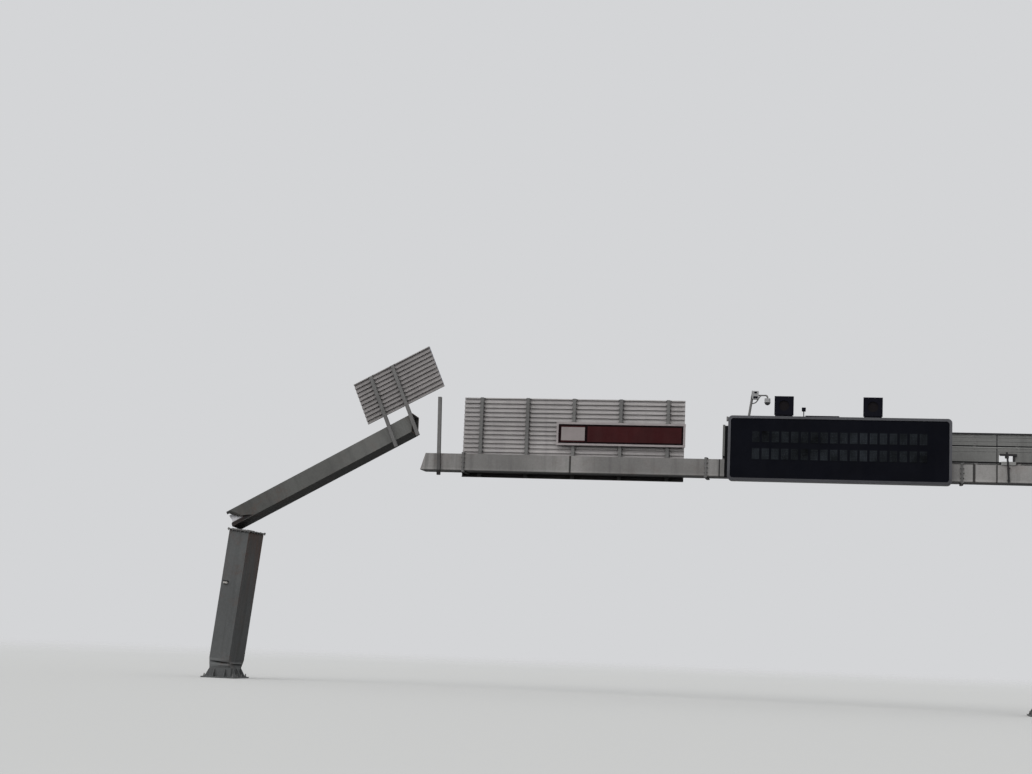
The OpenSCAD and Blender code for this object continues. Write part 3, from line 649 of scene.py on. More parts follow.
def weld_tree():
    """A rippled bead that follows the edges of a mesh."""
    n, given = new_tree("weld_bead", {"Width": "length", "Ripple": "length", "Seed": "count",
                                      "Material": "material"})
    path = n.out("GeometryNodeMeshToCurve", {0: given["Geometry"]})
    path = n.out("GeometryNodeResampleCurve", {"Curve": path, "Length": n.times(given["Width"], 3.0)},
                 mode="LENGTH")
    swell = n.out("FunctionNodeRandomValue", {
        "Min": n.less(1.0, given["Ripple"]), "Max": n.plus(1.0, given["Ripple"]), "Seed": given["Seed"]}, 1,
        data_type="FLOAT")
    path = n.out("GeometryNodeSetCurveRadius", {"Curve": path, "Radius": swell})
    profile = n.out("GeometryNodeCurvePrimitiveCircle", {"Resolution": 6,
                                                         "Radius": n.times(given["Width"], 0.5)})
    bead = n.out("GeometryNodeCurveToMesh", {"Curve": path, "Profile Curve": profile, "Fill Caps": True})
    return end_tree(n, bead, given["Material"])


def welds(name, paths, finish, seed=3, ripple=0.18):
    """Weld beads along paths, each a list of points."""
    points, edges = [], []
    for path in paths:
        first = len(points)
        points += path
        edges += [(first + i, first + i + 1) for i in range(len(path) - 1)]
    start = bpy.data.meshes.new(name)
    start.from_pydata(points, edges, [])
    tree = bpy.data.node_groups.get("weld_bead") or weld_tree()
    grow(name, tree, start, {"Width": fasteners().weld, "Ripple": ripple, "Seed": seed,
                             "Material": bpy.data.materials[finish]}, smooth=True)


# Places


def leaning_leg():
    """The struck leg's frame, from its fold up, untwisted."""
    d = damage()
    return Matrix.Translation((-d.foot, 0.0, d.fold)) @ Matrix.Rotation(d.lean, 4, "Y")


def twisted_leg():
    """The struck leg's frame with the leg's own twist."""
    return leaning_leg() @ Matrix.Rotation(-damage().twist, 4, "Z")


def broken_beam():
    """The broken-off beam's frame: its lower left edge, along the beam."""
    d = damage()
    seat = d.shaft + d.flange + d.wall + GAP
    seated = leaning_leg() @ Matrix.Translation((-d.bearing, d.rest, seat))
    sloped = seated @ Matrix.Rotation(-d.lean - d.tilt, 4, "Y")
    return sloped @ Matrix.Rotation(-d.roll, 4, "X") @ Matrix.Translation((0.0, -d.rest, 0.0))


def beam_face():
    """Y of the beam's near face."""
    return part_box("beam_section_middle")[0].y


def small_sign():
    """The small sign's frame: its lower left corner on the beam's near face, along the planks."""
    g = signs()
    corner = Matrix.Translation((damage().cut_end - g.start, beam_face(), g.rise))
    return broken_beam() @ corner @ Matrix.Rotation(g.turned, 4, "Y")


def small_sign_post(which):
    """A post of the small sign, from its foot up."""
    g = signs()
    foot = Vector((damage().cut_end - g.post_start + which * g.post_pitch, beam_face(), -g.drop))
    return broken_beam() @ Matrix.Translation(foot) @ Matrix.Rotation(g.turned + g.rack, 4, "Y")


def joint_planes():
    """Where the beam's flange joints lie, from the right."""
    sections = ("beam_section_right", "beam_section_middle", "beam_section_left", "beam_stub")
    boxes = [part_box(section) for section in sections]
    return [(one[0].x + two[1].x) / 2 for one, two in zip(boxes, boxes[1:])]


def beam_seams():
    """Vertical seams in the beam's near web, from the left."""
    stub, middle, right = sorted(joint_planes())
    return [stub + 3.22, middle + 0.39, right + 0.33, right + 0.95]


def hatch_ends():
    """X of the left and of the right end of the hatch in the walkway."""
    g = signs()
    return -g.hatch - g.hatch_width / 2, -g.hatch + g.hatch_width / 2


def ring(centre, across, along, width, height):
    """Places for bolts round a rectangle, evenly spaced on each side, the corners included."""
    centre, across, along = Vector(centre), Vector(across), Vector(along)
    pitch = fasteners().bolt_pitch
    places = []
    many = max(1, round(width / pitch))
    for i in range(many + 1):
        u = -width / 2 + width * i / many
        places += [centre + u * across + side * height / 2 * along for side in (-1, 1)]
    many = max(1, round(height / pitch))
    for i in range(1, many):
        v = -height / 2 + height * i / many
        places += [centre + side * width / 2 * across + v * along for side in (-1, 1)]
    return places


# Weather and painted shade that only some pieces have


def beam_tone_and_shade(n, place, shade):
    """Each length of the beam has its own tone and its seams are dark; painted shade darkens the lowest strip
    of its web, and the band just over it is painted lighter.
    """
    x = n.parts(place)["X"]
    tone = n.span(n.streaky(place, scale=(0.33, 0.0, 0.0), detail=2.0), 0.35, 0.65, 0.95, 1.05)
    stub, middle, right = sorted(joint_planes())
    seams = beam_seams()
    lengths = ((stub, 0.01, 1.05, 0.9), (stub + 0.4, 0.8, 1.0, 0.79), (stub + 1.7, 1.4, 1.0, 1.62),
               (seams[0], 0.01, 1.0, 0.96), (seams[0] + 0.2, 0.7, 1.0, 0.71), (middle, 0.01, 1.0, 1.46),
               (middle + 0.3, 0.1, 1.0, 0.88), (right - 0.5, 0.5, 1.0, 1.3), (right + 0.3, 1.5, 1.0, 0.82))
    for start, reach, before, after in lengths:
        tone = n.times(tone, n.span(x, start, start + reach, before, after))
    shade = n.grey(shade, tone)
    soft, dark = 0.012, 0.88
    for seam, wide in zip(seams, (0.022, 0.014, 0.032, 0.016)):
        off = n.math("ABSOLUTE", n.less(x, seam))
        shade = n.blend(n.span(off, wide, wide + soft, dark, 0.0), shade, toned(finishes().beam, 0.1))
    # Painted shade: the web's lowest strip is painted dark, so that the shaded underside's dark band reaches
    # higher; the band just over it is painted lighter.
    z = n.parts(place)["Z"]
    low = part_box("beam_stub")[0].z
    shade = n.grey(shade, n.span(z, low + 0.03, low + 0.09, 1.2, 1.0))
    return n.grey(shade, n.span(z, low + 0.015, low + 0.025, 0.35, 1.0))


def torn_tone_and_shade(n, place, shade):
    """Darker towards the leg; painted shade inside the torn end, round the tear and at the flap's foot;
    bright on the bare flap, whose bare metal has the sky's light painted in.
    """
    f = finishes()
    parts = n.parts(place)
    along, high = parts["X"], parts["Z"]
    shade = n.grey(shade, n.span(along, 0.8, 5.2, 0.9, 1.4))
    # Painted shade: everything between the webs' inner faces is painted darker, for the shade inside the torn
    # end.
    web_inside = 0.3345
    inside_shade = n.math("LESS_THAN", n.math("ABSOLUTE", parts["Y"]), web_inside)
    shade = n.blend(n.times(inside_shade, 0.6), shade, toned(f.broken, 0.35))
    flap = broken_beam() @ Matrix.Rotation(-damage().flap, 4, "X")
    outwards = tuple(flap.to_3x3() @ Vector((0.0, -1.0, 0.0)))
    facing = n.out("ShaderNodeVectorMath", {0: n.out("ShaderNodeTexCoord", socket="Normal"), 1: outwards},
                   "Value", operation="DOT_PRODUCT")
    bare = n.span(facing, 0.985, 0.995)
    # Painted shade: the web is darkened along and under the tear line, where the gap over the flap lies in
    # shade, and over the piece's first 0.2 m.
    tear_line = n.span(along, 0.12, 0.36, 0.42, 0.17)
    near = n.span(n.less(high, tear_line), 0.05, 0.09, 0.55, 0.0)
    near = n.times(near, n.span(along, 0.34, 0.42, 1.0, 0.0))
    near = n.math("MAXIMUM", near, n.span(along, 0.0, 0.2, 0.4, 0.0))
    shade = n.grey(shade, n.less(1.0, near))
    scratch = n.span(n.streaky(place, scale=(3.0, 8.0, 20.0), detail=4.0), 0.3, 0.6, 0.85, 1.0)
    # The bare flap's colour is its bare metal with the sky's light painted in.
    shade = n.blend(n.times(bare, scratch), shade, f.bare_metal_and_sky_light)
    # Painted shade: the flap's lowest strip and its part past the tear are painted near black.
    root = n.math("MAXIMUM", n.span(high, 0.12, 0.15, 1.0, 0.0), n.span(along, 0.36, 0.42))
    return n.blend(n.times(n.times(bare, root), 0.97), shade, toned(f.broken, 0.03))


def leg_stain_and_side_shade(n, place, shade):
    """Brown run-off from the torn seat, down one side of the struck leg, and painted shade that darkens that
    side.
    """
    parts = n.parts(place)
    high = n.span(parts["Z"], 1.6, 4.1)
    side = n.span(parts["X"], 0.33, 0.339)
    patches = n.span(n.streaky(place, scale=(3.0, 3.0, 0.5), detail=4.0), 0.35, 0.75)
    stain = n.times(n.times(high, side), n.times(patches, 0.8))
    # Painted shade: the side face is painted darker and the front a little lighter.
    shade = n.grey(shade, n.span(side, 0.0, 1.0, 1.03, 0.76))
    return n.blend(stain, shade, toned(finishes().rust, 0.85))


def plank_tone_and_shade(low, beam_shade_height):
    """Tone of planks from a lowest edge up, with painted shade of the beam over them as far up as
    beam_shade_height.
    """
    def weather_and_shade(n, place, shade):
        """Painted shade darkens the band up to beam_shade_height, and no two planks have quite the same tone.
        """
        z = n.parts(place)["Z"]
        shade = n.grey(shade, n.span(z, low + beam_shade_height, low + beam_shade_height + 0.02, 0.2, 1.0))
        plank = n.math("FLOOR", n.math("DIVIDE", n.less(z, low), signs().pitch))
        chance = n.out("ShaderNodeTexWhiteNoise", {"W": plank}, "Value", noise_dimensions="1D")
        return n.grey(shade, n.span(chance, 0.0, 1.0, 0.93, 1.06))
    return weather_and_shade


def frame_shade(n, place, shade):
    """Painted shade: the message sign's frame is painted darker, most of all below."""
    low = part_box("message_sign_frame")[0].z
    return n.grey(shade, n.span(n.parts(place)["Z"], low + 0.03, low + 0.3, 0.62, 0.86))


def lone_post_shade(n, place, shade):
    """Painted shade: the lone post is darker where it crosses the beam and nearly black at its foot under the
    beam; above the beam it is painted a little lighter.
    """
    z = n.parts(place)["Z"]
    low, high = (corner.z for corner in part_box("beam_stub"))
    shade = n.grey(shade, n.span(z, low - 0.02, low + 0.02, 0.25, 1.0))
    return n.grey(shade, n.span(z, high - 0.04, high, 0.6, 1.1))


# Which finish each solid of the frame wears

WEARING = {
    "beam_paint": ("beam_section_left", "beam_section_middle", "beam_section_right", "beam_end_cap"),
    "stub_paint": ("beam_stub",),
    "broken_paint": ("broken_beam",),
    "leg_paint": ("right_leg_lower", "right_leg_upper", "right_base_plate", "right_base_ribs",
                  "left_base_plate", "left_base_ribs", "left_leg_stub"),
    "struck_paint": ("left_leg", "left_leg_fold"),
    "lone_zinc": ("lone_post",),
    "zinc": ("small_sign_posts", "beam_flanges_left", "beam_flanges_right", "large_sign_posts", "board_rails",
             "camera_pole", "walkway_bearers", "walkway_floor", "parapet_posts", "right_leg_flanges",
             "message_sign_posts"),
    "torn_zinc": ("torn_seat_plate", "left_leg_flange"),
    "planks": ("large_sign_planks",),
    "tilted_planks": ("small_sign_planks",),
    "board_frame_metal": ("board_frame",),
    "sheet": ("small_sign_face", "large_sign_face"),
    "board_sheet": ("board_panel",),
    "housing_paint": ("message_sign_housing", "message_sign_doors", "light_sensor"),
    "trim_paint": ("message_sign_frame",),
    "display_face": ("message_sign_display",),
    "lantern_face": ("lantern_boxes", "cable_tray"),
    "amber": ("lantern_lenses",),
    "hood": ("camera_hood",),
    "smoke": ("camera_dome",),
    "parapet_metal": ("parapet_lower_panel", "parapet_upper_panel", "walkway_end_panels"),
}


# The pieces


class GANTRY_OT_finishes(bpy.types.Operator):
    """Gives every solid of the frame its weathered finish, with its painted shade"""
    bl_idname = "gantry.finishes"
    bl_label = "Finishes"

    def execute(self, context):
        self.steel()
        self.zinc()
        self.signs()
        self.message_sign()
        self.parapet()
        for finish, nodes in WEARING.items():
            for name in nodes:
                wear(frame["nodes"][name].data, finish)
        return {"FINISHED"}

    def steel(self):
        """Paint of the beam, of its broken-off end and of the legs."""
        f = finishes()
        weathered_metal_with_shade("beam_paint", f.beam, rust=0.25, underside_shade=1.08, weather_and_shade=beam_tone_and_shade)
        weathered_metal_with_shade("stub_paint", f.beam, rust=0.3, patch=0.1, streak=0.34, underside_shade=1.08,
                        weather_and_shade=beam_tone_and_shade)
        weathered_metal_with_shade("broken_paint", f.broken, broken_beam(), rust=0.35, underside_shade=1.06,
                        weather_and_shade=torn_tone_and_shade)
        weathered_metal_with_shade("leg_paint", f.leg, patch=0.1, rust=0.3)
        weathered_metal_with_shade("struck_paint", f.leg, twisted_leg(), patch=0.1, rust=0.45, weather_and_shade=leg_stain_and_side_shade)

    def zinc(self):
        """Zinc of posts, flanges and rails."""
        post = finishes().post
        weathered_metal_with_shade("zinc", post, spangle=0.09, streak=0.16, rust=0.15)
        weathered_metal_with_shade("lone_zinc", post, spangle=0.09, streak=0.16, rust=0.15, weather_and_shade=lone_post_shade)
        weathered_metal_with_shade("torn_zinc", post, twisted_leg(), spangle=0.09, rust=0.5, patch=0.3)

    def signs(self):
        """Planks, sheets and frame of the signs."""
        f = finishes()
        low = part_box("large_sign_planks")[0].z
        # Painted shade: the large sign's planks are painted dark up to a little over the beam's underside;
        # the small sign's planks get none.
        lap, no_beam_shade = 0.1, -1.0
        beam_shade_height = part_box("beam_section_left")[0].z + lap - low
        mill = {"spangle": 0.02, "roughness": 0.5}
        weathered_metal_with_shade("planks", f.plank, patch=0.08, streak=0.14, weather_and_shade=plank_tone_and_shade(low, beam_shade_height),
                        **mill)
        weathered_metal_with_shade("tilted_planks", f.tilted_plank, small_sign(), patch=0.08, streak=0.14,
                        weather_and_shade=plank_tone_and_shade(0.0, no_beam_shade), **mill)
        weathered_metal_with_shade("board_frame_metal", f.frame, patch=0.1, streak=0.12, **mill)
        plain_plastic("sheet", f.sheet, roughness=0.35, mottle=0.08, coat=0.3, dust=0.25)
        plain_plastic("board_sheet", f.board, roughness=0.6, mottle=0.18, dust=0.04, specular=0.08)

    def message_sign(self):
        """Paint, face and lanterns of the message sign, and the camera on it."""
        f = finishes()
        weathered_metal_with_shade("housing_paint", f.housing, spangle=0.0, streak=0.12, roughness=0.5)
        weathered_metal_with_shade("trim_paint", f.trim, spangle=0.0, streak=0.1, roughness=0.45, underside_shade=0.5,
                        weather_and_shade=frame_shade)
        matt = {"roughness": 0.8, "dust": 0.01, "specular": 0.03}
        plain_plastic("display_face", f.display, mottle=0.15, **matt)
        plain_plastic("lantern_face", f.lantern, **matt)
        plain_plastic("amber", f.lens, roughness=0.45, grain=60.0, specular=0.05)
        plain_plastic("hood", f.camera, roughness=0.4, dust=0.2)
        plain_plastic("smoke", paint(22, 22, 26), roughness=0.12, grain=20.0, coat=0.6)

    def parapet(self):
        """Bare metal of the parapet, and a lighter copy of it that paints highlights on its pressed edges."""
        parapet = finishes().parapet
        # Painted highlight: the parapet's metal half again as light, for lit edges.
        weathered_metal_with_shade("bright_edge", toned(parapet, 1.5), patch=0.12, rust=0.05)
        weathered_metal_with_shade("parapet_metal", parapet, patch=0.1, streak=0.18, rust=0.12)


class GANTRY_OT_flange_bolts(bpy.types.Operator):
    """Bolts the beam's joints, the legs' joints and the feet"""
    bl_idname = "gantry.flange_bolts"
    bl_label = "Flange bolts"

    def execute(self, context):
        self.beam_bolts()
        self.leg_bolts()
        self.anchors()
        return {"FINISHED"}

    def fasten(self, name, heads, nuts, seeds):
        """Bolt heads on one side of a joint, and nuts with the ends of their threads on the other."""
        s = fasteners()
        washer = s.bolt_head * 1.22
        for kind, places, tall, reach, seed in (("bolts", heads, 0.62, 0.7, seeds[0]),
                                                ("nuts", nuts, 0.8, 1.5, seeds[1])):
            bolts(f"{name}_{kind}", places, s.bolt_head, s.bolt * tall, washer, s.bolt, s.bolt * reach, seed)

    def beam_bolts(self):
        """Bolts through the paired flanges of the beam's joints."""
        low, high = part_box("beam_flanges_left")
        lip = beam_face() - low.y
        middle = (low + high) / 2
        width, height = high.y - low.y - lip, high.z - low.z - lip
        thick = 0.025
        heads, nuts = [], []
        for x in joint_planes():
            for p in ring((x, middle.y, middle.z), (0, 1, 0), (0, 0, 1), width, height):
                heads.append((p + Vector((-thick, 0, 0)), (-1, 0, 0)))
                nuts.append((p + Vector((thick, 0, 0)), (1, 0, 0)))
        self.fasten("beam_joint", heads, nuts, (2, 5))

    def leg_bolts(self):
        """Bolts of the right leg's joints and of the struck leg's flange."""
        d = damage()
        low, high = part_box("right_leg_flanges")
        leg_low, leg_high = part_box("right_leg_lower")
        lip = leg_low.x - low.x
        width, depth = high.x - low.x - lip, high.y - low.y - lip
        joint = leg_high.z + d.flange
        under_beam, beside_plate = 0.33, 0.39
        heads, nuts = [], []
        for p in ring((0, 0, 0), (1, 0, 0), (0, 1, 0), width, depth):
            heads.append((p + Vector((0, 0, joint + d.flange)), (0, 0, 1)))
            nuts.append((p + Vector((0, 0, joint - d.flange)), (0, 0, -1)))
            if abs(p.y) < under_beam:
                nuts.append((p + Vector((0, 0, high.z - d.flange)), (0, 0, -1)))
        struck = twisted_leg()
        up = struck.to_3x3() @ Vector((0, 0, 1))
        for p in ring((0, 0, d.shaft), (1, 0, 0), (0, 1, 0), width, depth):
            nuts.append((struck @ p, -up))
            if abs(p.y) > beside_plate:
                heads.append((struck @ (p + Vector((0, 0, d.flange))), up))
        self.fasten("leg_joint", heads, nuts, (7, 8))

    def anchors(self):
        """Foundation nuts on the two base plates."""
        s = fasteners()
        from_end, from_side, inner = 0.08, 0.09, 0.19
        places = []
        for node in ("left_base_plate", "right_base_plate"):
            low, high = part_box(node)
            middle = (low + high) / 2
            outer = (high.y - low.y) / 2 - from_side
            for end in (-1, 1):
                for y in (-outer, -inner, inner, outer):
                    x = middle.x + end * ((high.x - low.x) / 2 - from_end)
                    places.append((Vector((x, middle.y + y, high.z)), (0, 0, 1)))
        bolts("anchor_nuts", places, s.anchor_nut, head=s.anchor * 0.8, washer=s.anchor_nut * 1.25,
              thread=s.anchor, reach=0.085, seed=11)


class GANTRY_OT_sign_clips(bpy.types.Operator):
    """Clamps each plank to each post of the two plank signs"""
    bl_idname = "gantry.sign_clips"
    bl_label = "Plank clips"

    def execute(self, context):
        g = signs()
        low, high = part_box("large_sign_planks")
        posts_low, posts_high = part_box("large_sign_posts")
        posts = 5
        first = posts_low.x - low.x + g.post / 2
        step = (posts_high.x - posts_low.x - g.post) / (posts - 1)
        lines = [(Vector((first + i * step, 0, 0)), Vector((0, 0, 1))) for i in range(posts)]
        self.clamp("large_sign", Matrix.Translation(low), lines, round((high.z - low.z) / g.pitch), 13)
        inverse = small_sign().inverted()
        turned = [inverse @ small_sign_post(i) for i in range(2)]
        lines = [(post.to_translation(), post.to_3x3() @ Vector((0, 0, 1))) for post in turned]
        self.clamp("small_sign", small_sign(), lines, g.rows, 17)
        return {"FINISHED"}

    def clamp(self, name, turned, lines, rows, seed):
        """A clip at each side of each post on each plank's rear lip, posts given as foot and direction."""
        g, s = signs(), fasteners()
        half_width, half_height, thick, beside, below = 0.016, 0.012, 0.014, 0.015, 0.001
        clips = Shape(turned)
        places = []
        for foot, along in lines:
            for k in range(rows):
                z = (k + 1) * g.pitch - g.lip / 2 - below
                centre = (foot + along * (z - foot.z) / along.z).x
                for side in (-1, 1):
                    x = centre + side * (g.post / 2 + beside)
                    clips.box((x - half_width, -thick, z - half_height),
                              (x + half_width, -GAP, z + half_height))
                    places.append((turned @ Vector((x, -thick, z)), turned.to_3x3() @ Vector((0, -1, 0))))
        clips.piece(name + "_clips", "zinc", "bright_steel")
        bolts(name + "_clip_bolts", places, s.clip_head, head=0.008, washer=s.clip_head * 1.2, thread=0.012,
              reach=0.014, seed=seed)


class GANTRY_OT_display(bpy.types.Operator):
    """Makes the message sign's character cells"""
    bl_idname = "gantry.display"
    bl_label = "Display cells"

    def execute(self, context):
        d = context.scene.gantry_display
        cell = finishes().cell
        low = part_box("message_sign_housing")[0]
        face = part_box("message_sign_display")[0].y
        plain_plastic("cell_face", toned(cell, 0.66), roughness=0.7, mottle=0.9, specular=0.04, cloud=1.7)
        plain_plastic("cell_lamp", toned(cell, 1.05), roughness=0.3, mottle=0.8, specular=0.06, cloud=1.7)
        x = low.x + d.left + (d.columns - 1) * d.column_pitch / 2
        z = low.z + d.low + (d.rows - 1) * d.row_pitch / 2
        grow("message_sign_cells", cell_tree(), bpy.data.meshes.new("cells"), {
            "Columns": d.columns, "Rows": d.rows, "Column Pitch": d.column_pitch, "Row Pitch": d.row_pitch,
            "Width": d.cell_width, "Height": d.cell_height, "Depth": d.cell_depth, "Dot": d.dot,
            "Place": (x, face - d.cell_depth / 2, z), "Material": bpy.data.materials["cell_face"],
            "Dot Material": bpy.data.materials["cell_lamp"]})
        return {"FINISHED"}


class GANTRY_OT_board(bpy.types.Operator):
    """Puts the bare pale plate on the tourist board, with near-black lines of painted shade inside its frame
    and a dark line beside the plate
    """
    bl_idname = "gantry.board"
    bl_label = "Tourist board"

    def execute(self, context):
        low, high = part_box("board_panel")
        inset, wide, margin, line = 0.085, 0.71, 0.003, 0.05
        plate_front, line_front, front, back = 0.003, 0.002, low.y, low.y - SHEET_GAP
        plain_plastic("board_plate_sheet", finishes().plate, roughness=0.45, mottle=0.1, dust=0.25)
        plain_plastic("board_plate_edge", paint(22, 11, 13), roughness=0.7, specular=0.04)
        split = low.x + inset + wide
        block("board_plate", (low.x + inset, front - plate_front, low.z + inset),
              (split, back, high.z - inset), "board_plate_sheet", "sign_aluminium", bevel=0.0012)
        left, right, foot, top = low.x + margin, high.x - margin, low.z + margin, high.z - margin
        # The four lines along the frame are painted shade of the gap along its inside; the fifth is a dark
        # line beside the plate.
        lines = Shape()
        for x0, z0, x1, z1 in ((left, foot, right, foot + line), (left, top - line, right, top),
                               (left, foot + line, left + line * 1.5, top - line),
                               (right - line, foot + line, right, top - line),
                               (split + 0.002, foot + line, split + line * 1.6, top - line)):
            lines.box((x0, front - line_front, z0), (x1, back, z1))
        lines.piece("board_edge_line", "board_plate_edge", "board_brown")
        return {"FINISHED"}


class GANTRY_OT_walkway(bpy.types.Operator):
    """Turns the walkway's floor into open grating and adds the parapet's rails"""
    bl_idname = "gantry.walkway"
    bl_label = "Walkway"

    def execute(self, context):
        weathered_metal_with_shade("dark_rail", finishes().dark_rail, spangle=0.0, rust=0.12)
        self.grating()
        panels = (*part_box("parapet_lower_panel"), *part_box("parapet_upper_panel"))
        self.rails(*panels)
        self.seams(*panels)
        self.panel_bolts(*panels)
        self.swages()
        return {"FINISHED"}

    def grating(self):
        """Bars and cross rods in the floor's three parts, each part with a rim round it."""
        low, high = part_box("walkway_floor")
        hatch_left, hatch_right = hatch_ends()
        pitch, thick, rim = 0.041, 0.004, 0.008
        rod, rod_pitch, first_rod, rod_sunk = 0.007, 0.1, 0.06, 0.006
        depth = high.z - low.z - 0.004
        edge = Shape()
        for part, left, right, near in (("left", low.x, hatch_left, low.y),
                                        ("right", hatch_right, high.x, low.y),
                                        ("rim", hatch_left, hatch_right, high.y - signs().hatch_rim)):
            bars = int((right - left - 2 * rim) / pitch)
            first = ((left + right) / 2 - (bars - 1) * pitch / 2, (near + high.y) / 2, (low.z + high.z) / 2)
            bar_row("walkway_grating_bars_" + part, first, (pitch, 0, 0), bars,
                    (thick, high.y - near - 2 * rim, depth), "zinc",
                    replaces=("walkway_floor",) if part == "left" else ())
            bar_row("walkway_grating_rods_" + part, ((left + right) / 2, near + first_rod, high.z - rod_sunk),
                    (0, rod_pitch, 0), int((high.y - near) / rod_pitch), (right - left - 2 * rim, rod, rod),
                    "zinc")
            edge.box((left, near, low.z), (right, near + rim, high.z))
            edge.box((left, high.y - rim, low.z), (right, high.y, high.z))
            edge.box((left, near, low.z), (left + rim, high.y, high.z))
            edge.box((right - rim, near, low.z), (right, high.y, high.z))
        # Painted shade: the grating's rims are painted near black, for the shade in the gap under the
        # parapet.
        weathered_metal_with_shade("walkway_edge_paint", toned(finishes().dark_rail, 0.3), spangle=0.0, rust=0.05)
        edge.piece("walkway_edge", "walkway_edge_paint", "bright_steel")

    def rails(self, lower_low, lower_high, upper_low, upper_high):
        """Rails behind the parapet's panels, a cap over them, and the edges of the notch before the hatch."""
        back, front = upper_high.y, lower_low.y
        lap, under, over, thick = 0.02, 0.028, 0.03, 0.03
        cap_front, cap_back, cap_foot, cap_top = 0.02, 0.05, 0.04, 0.012
        rails = Shape()
        for z0, z1 in ((lower_high.z - lap, upper_low.z + lap), (lower_low.z - under, lower_low.z + over)):
            rails.box((lower_low.x, back + GAP, z0), (lower_high.x, back + thick, z1))
        rails.box((upper_low.x, upper_low.y - cap_front, upper_high.z - cap_foot),
                  (upper_high.x, upper_high.y + cap_back, upper_high.z + cap_top))
        left, right = hatch_ends()
        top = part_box("walkway_floor")[1].z + signs().notch
        lip = top - 0.02 - GAP
        for x0, x1, proud, z0, z1 in ((left + 0.02, right + 0.09, 0.05, top - 0.02, top + 0.04),
                                      (right - 0.025, right + 0.04, 0.03, lower_low.z, lip),
                                      (left + 0.16, left + 0.27, 0.045, top - 0.09, lip)):
            rails.box((x0, front - proud, z0), (x1, front - GAP, z1))
        rails.piece("parapet_rails", "dark_rail", "bright_steel", bevel=0.003)

    def seams(self, lower_low, lower_high, upper_low, upper_high):
        """Straps over the joint in the parapet's panels, and the lips, painted lighter as highlights, that
        stop short of it.
        """
        front = lower_low.y
        beside_hatch, half_strap, strap_out, under_cap = 0.06, 0.014, 0.004, 0.0402
        stop_short, lip_out = 0.02, 0.007
        joint = hatch_ends()[0] - beside_hatch
        straps = Shape()
        for low, high in ((lower_low, lower_high), (upper_low, upper_high)):
            straps.box((joint - half_strap, front - strap_out, low.z),
                       (joint + half_strap, front - SHEET_GAP, high.z - under_cap))
        straps.piece("parapet_seam_straps", "dark_rail", "bright_steel")
        # The lips wear the lighter copy of the parapet's metal: painted highlights.
        lips = Shape()
        for left, right in ((lower_low.x, joint - stop_short), (joint + stop_short, lower_high.x)):
            for z, tall in ((lower_high.z - 0.004, 0.028), (upper_high.z - 0.042, 0.016)):
                lips.box((left, front - lip_out, z - tall), (right, front - SHEET_GAP, z))
        lips.piece("parapet_lips", "bright_edge", "parapet_grey", bevel=0.002)

    def panel_bolts(self, lower_low, lower_high, upper_low, upper_high):
        """Bolts that hold the panels on the posts, four at each post."""
        clip_head = fasteners().clip_head
        posts_low, posts_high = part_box("parapet_posts")
        count, post, from_end, from_edge, under_cap = 9, 0.08, 0.03, 0.06, 0.08
        first, last = lower_low.x + from_end, lower_high.x - from_end
        step = (posts_high.x - posts_low.x - post) / (count - 1)
        places = []
        for i in range(count):
            x = min(max(posts_low.x + post / 2 + i * step, first), last)
            for z in (lower_low.z + from_edge, lower_high.z - from_edge, upper_low.z + from_edge,
                      upper_high.z - under_cap):
                places.append((Vector((x, lower_low.y, z)), (0, -1, 0)))
        bolts("parapet_bolts", places, clip_head, head=0.009, washer=clip_head * 1.5, thread=0.012,
              reach=0.012, seed=19)

    def swages(self):
        """Pressed lines along the parapet's panels."""
        from_end, sunk, radius = 0.02, 0.003, 0.008
        for node, heights in (("parapet_upper_panel", (0.12, 0.23)), ("parapet_lower_panel", (0.36,))):
            low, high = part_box(node)
            pressed = Shape()
            for height in heights:
                y, z = low.y + sunk, low.z + height
                pressed.rod((low.x + from_end, y, z), (high.x - from_end, y, z), radius, radius, sides=8)
            pressed.piece(node.replace("_panel", "_swages"), "parapet_metal", "parapet_grey", smooth=True)


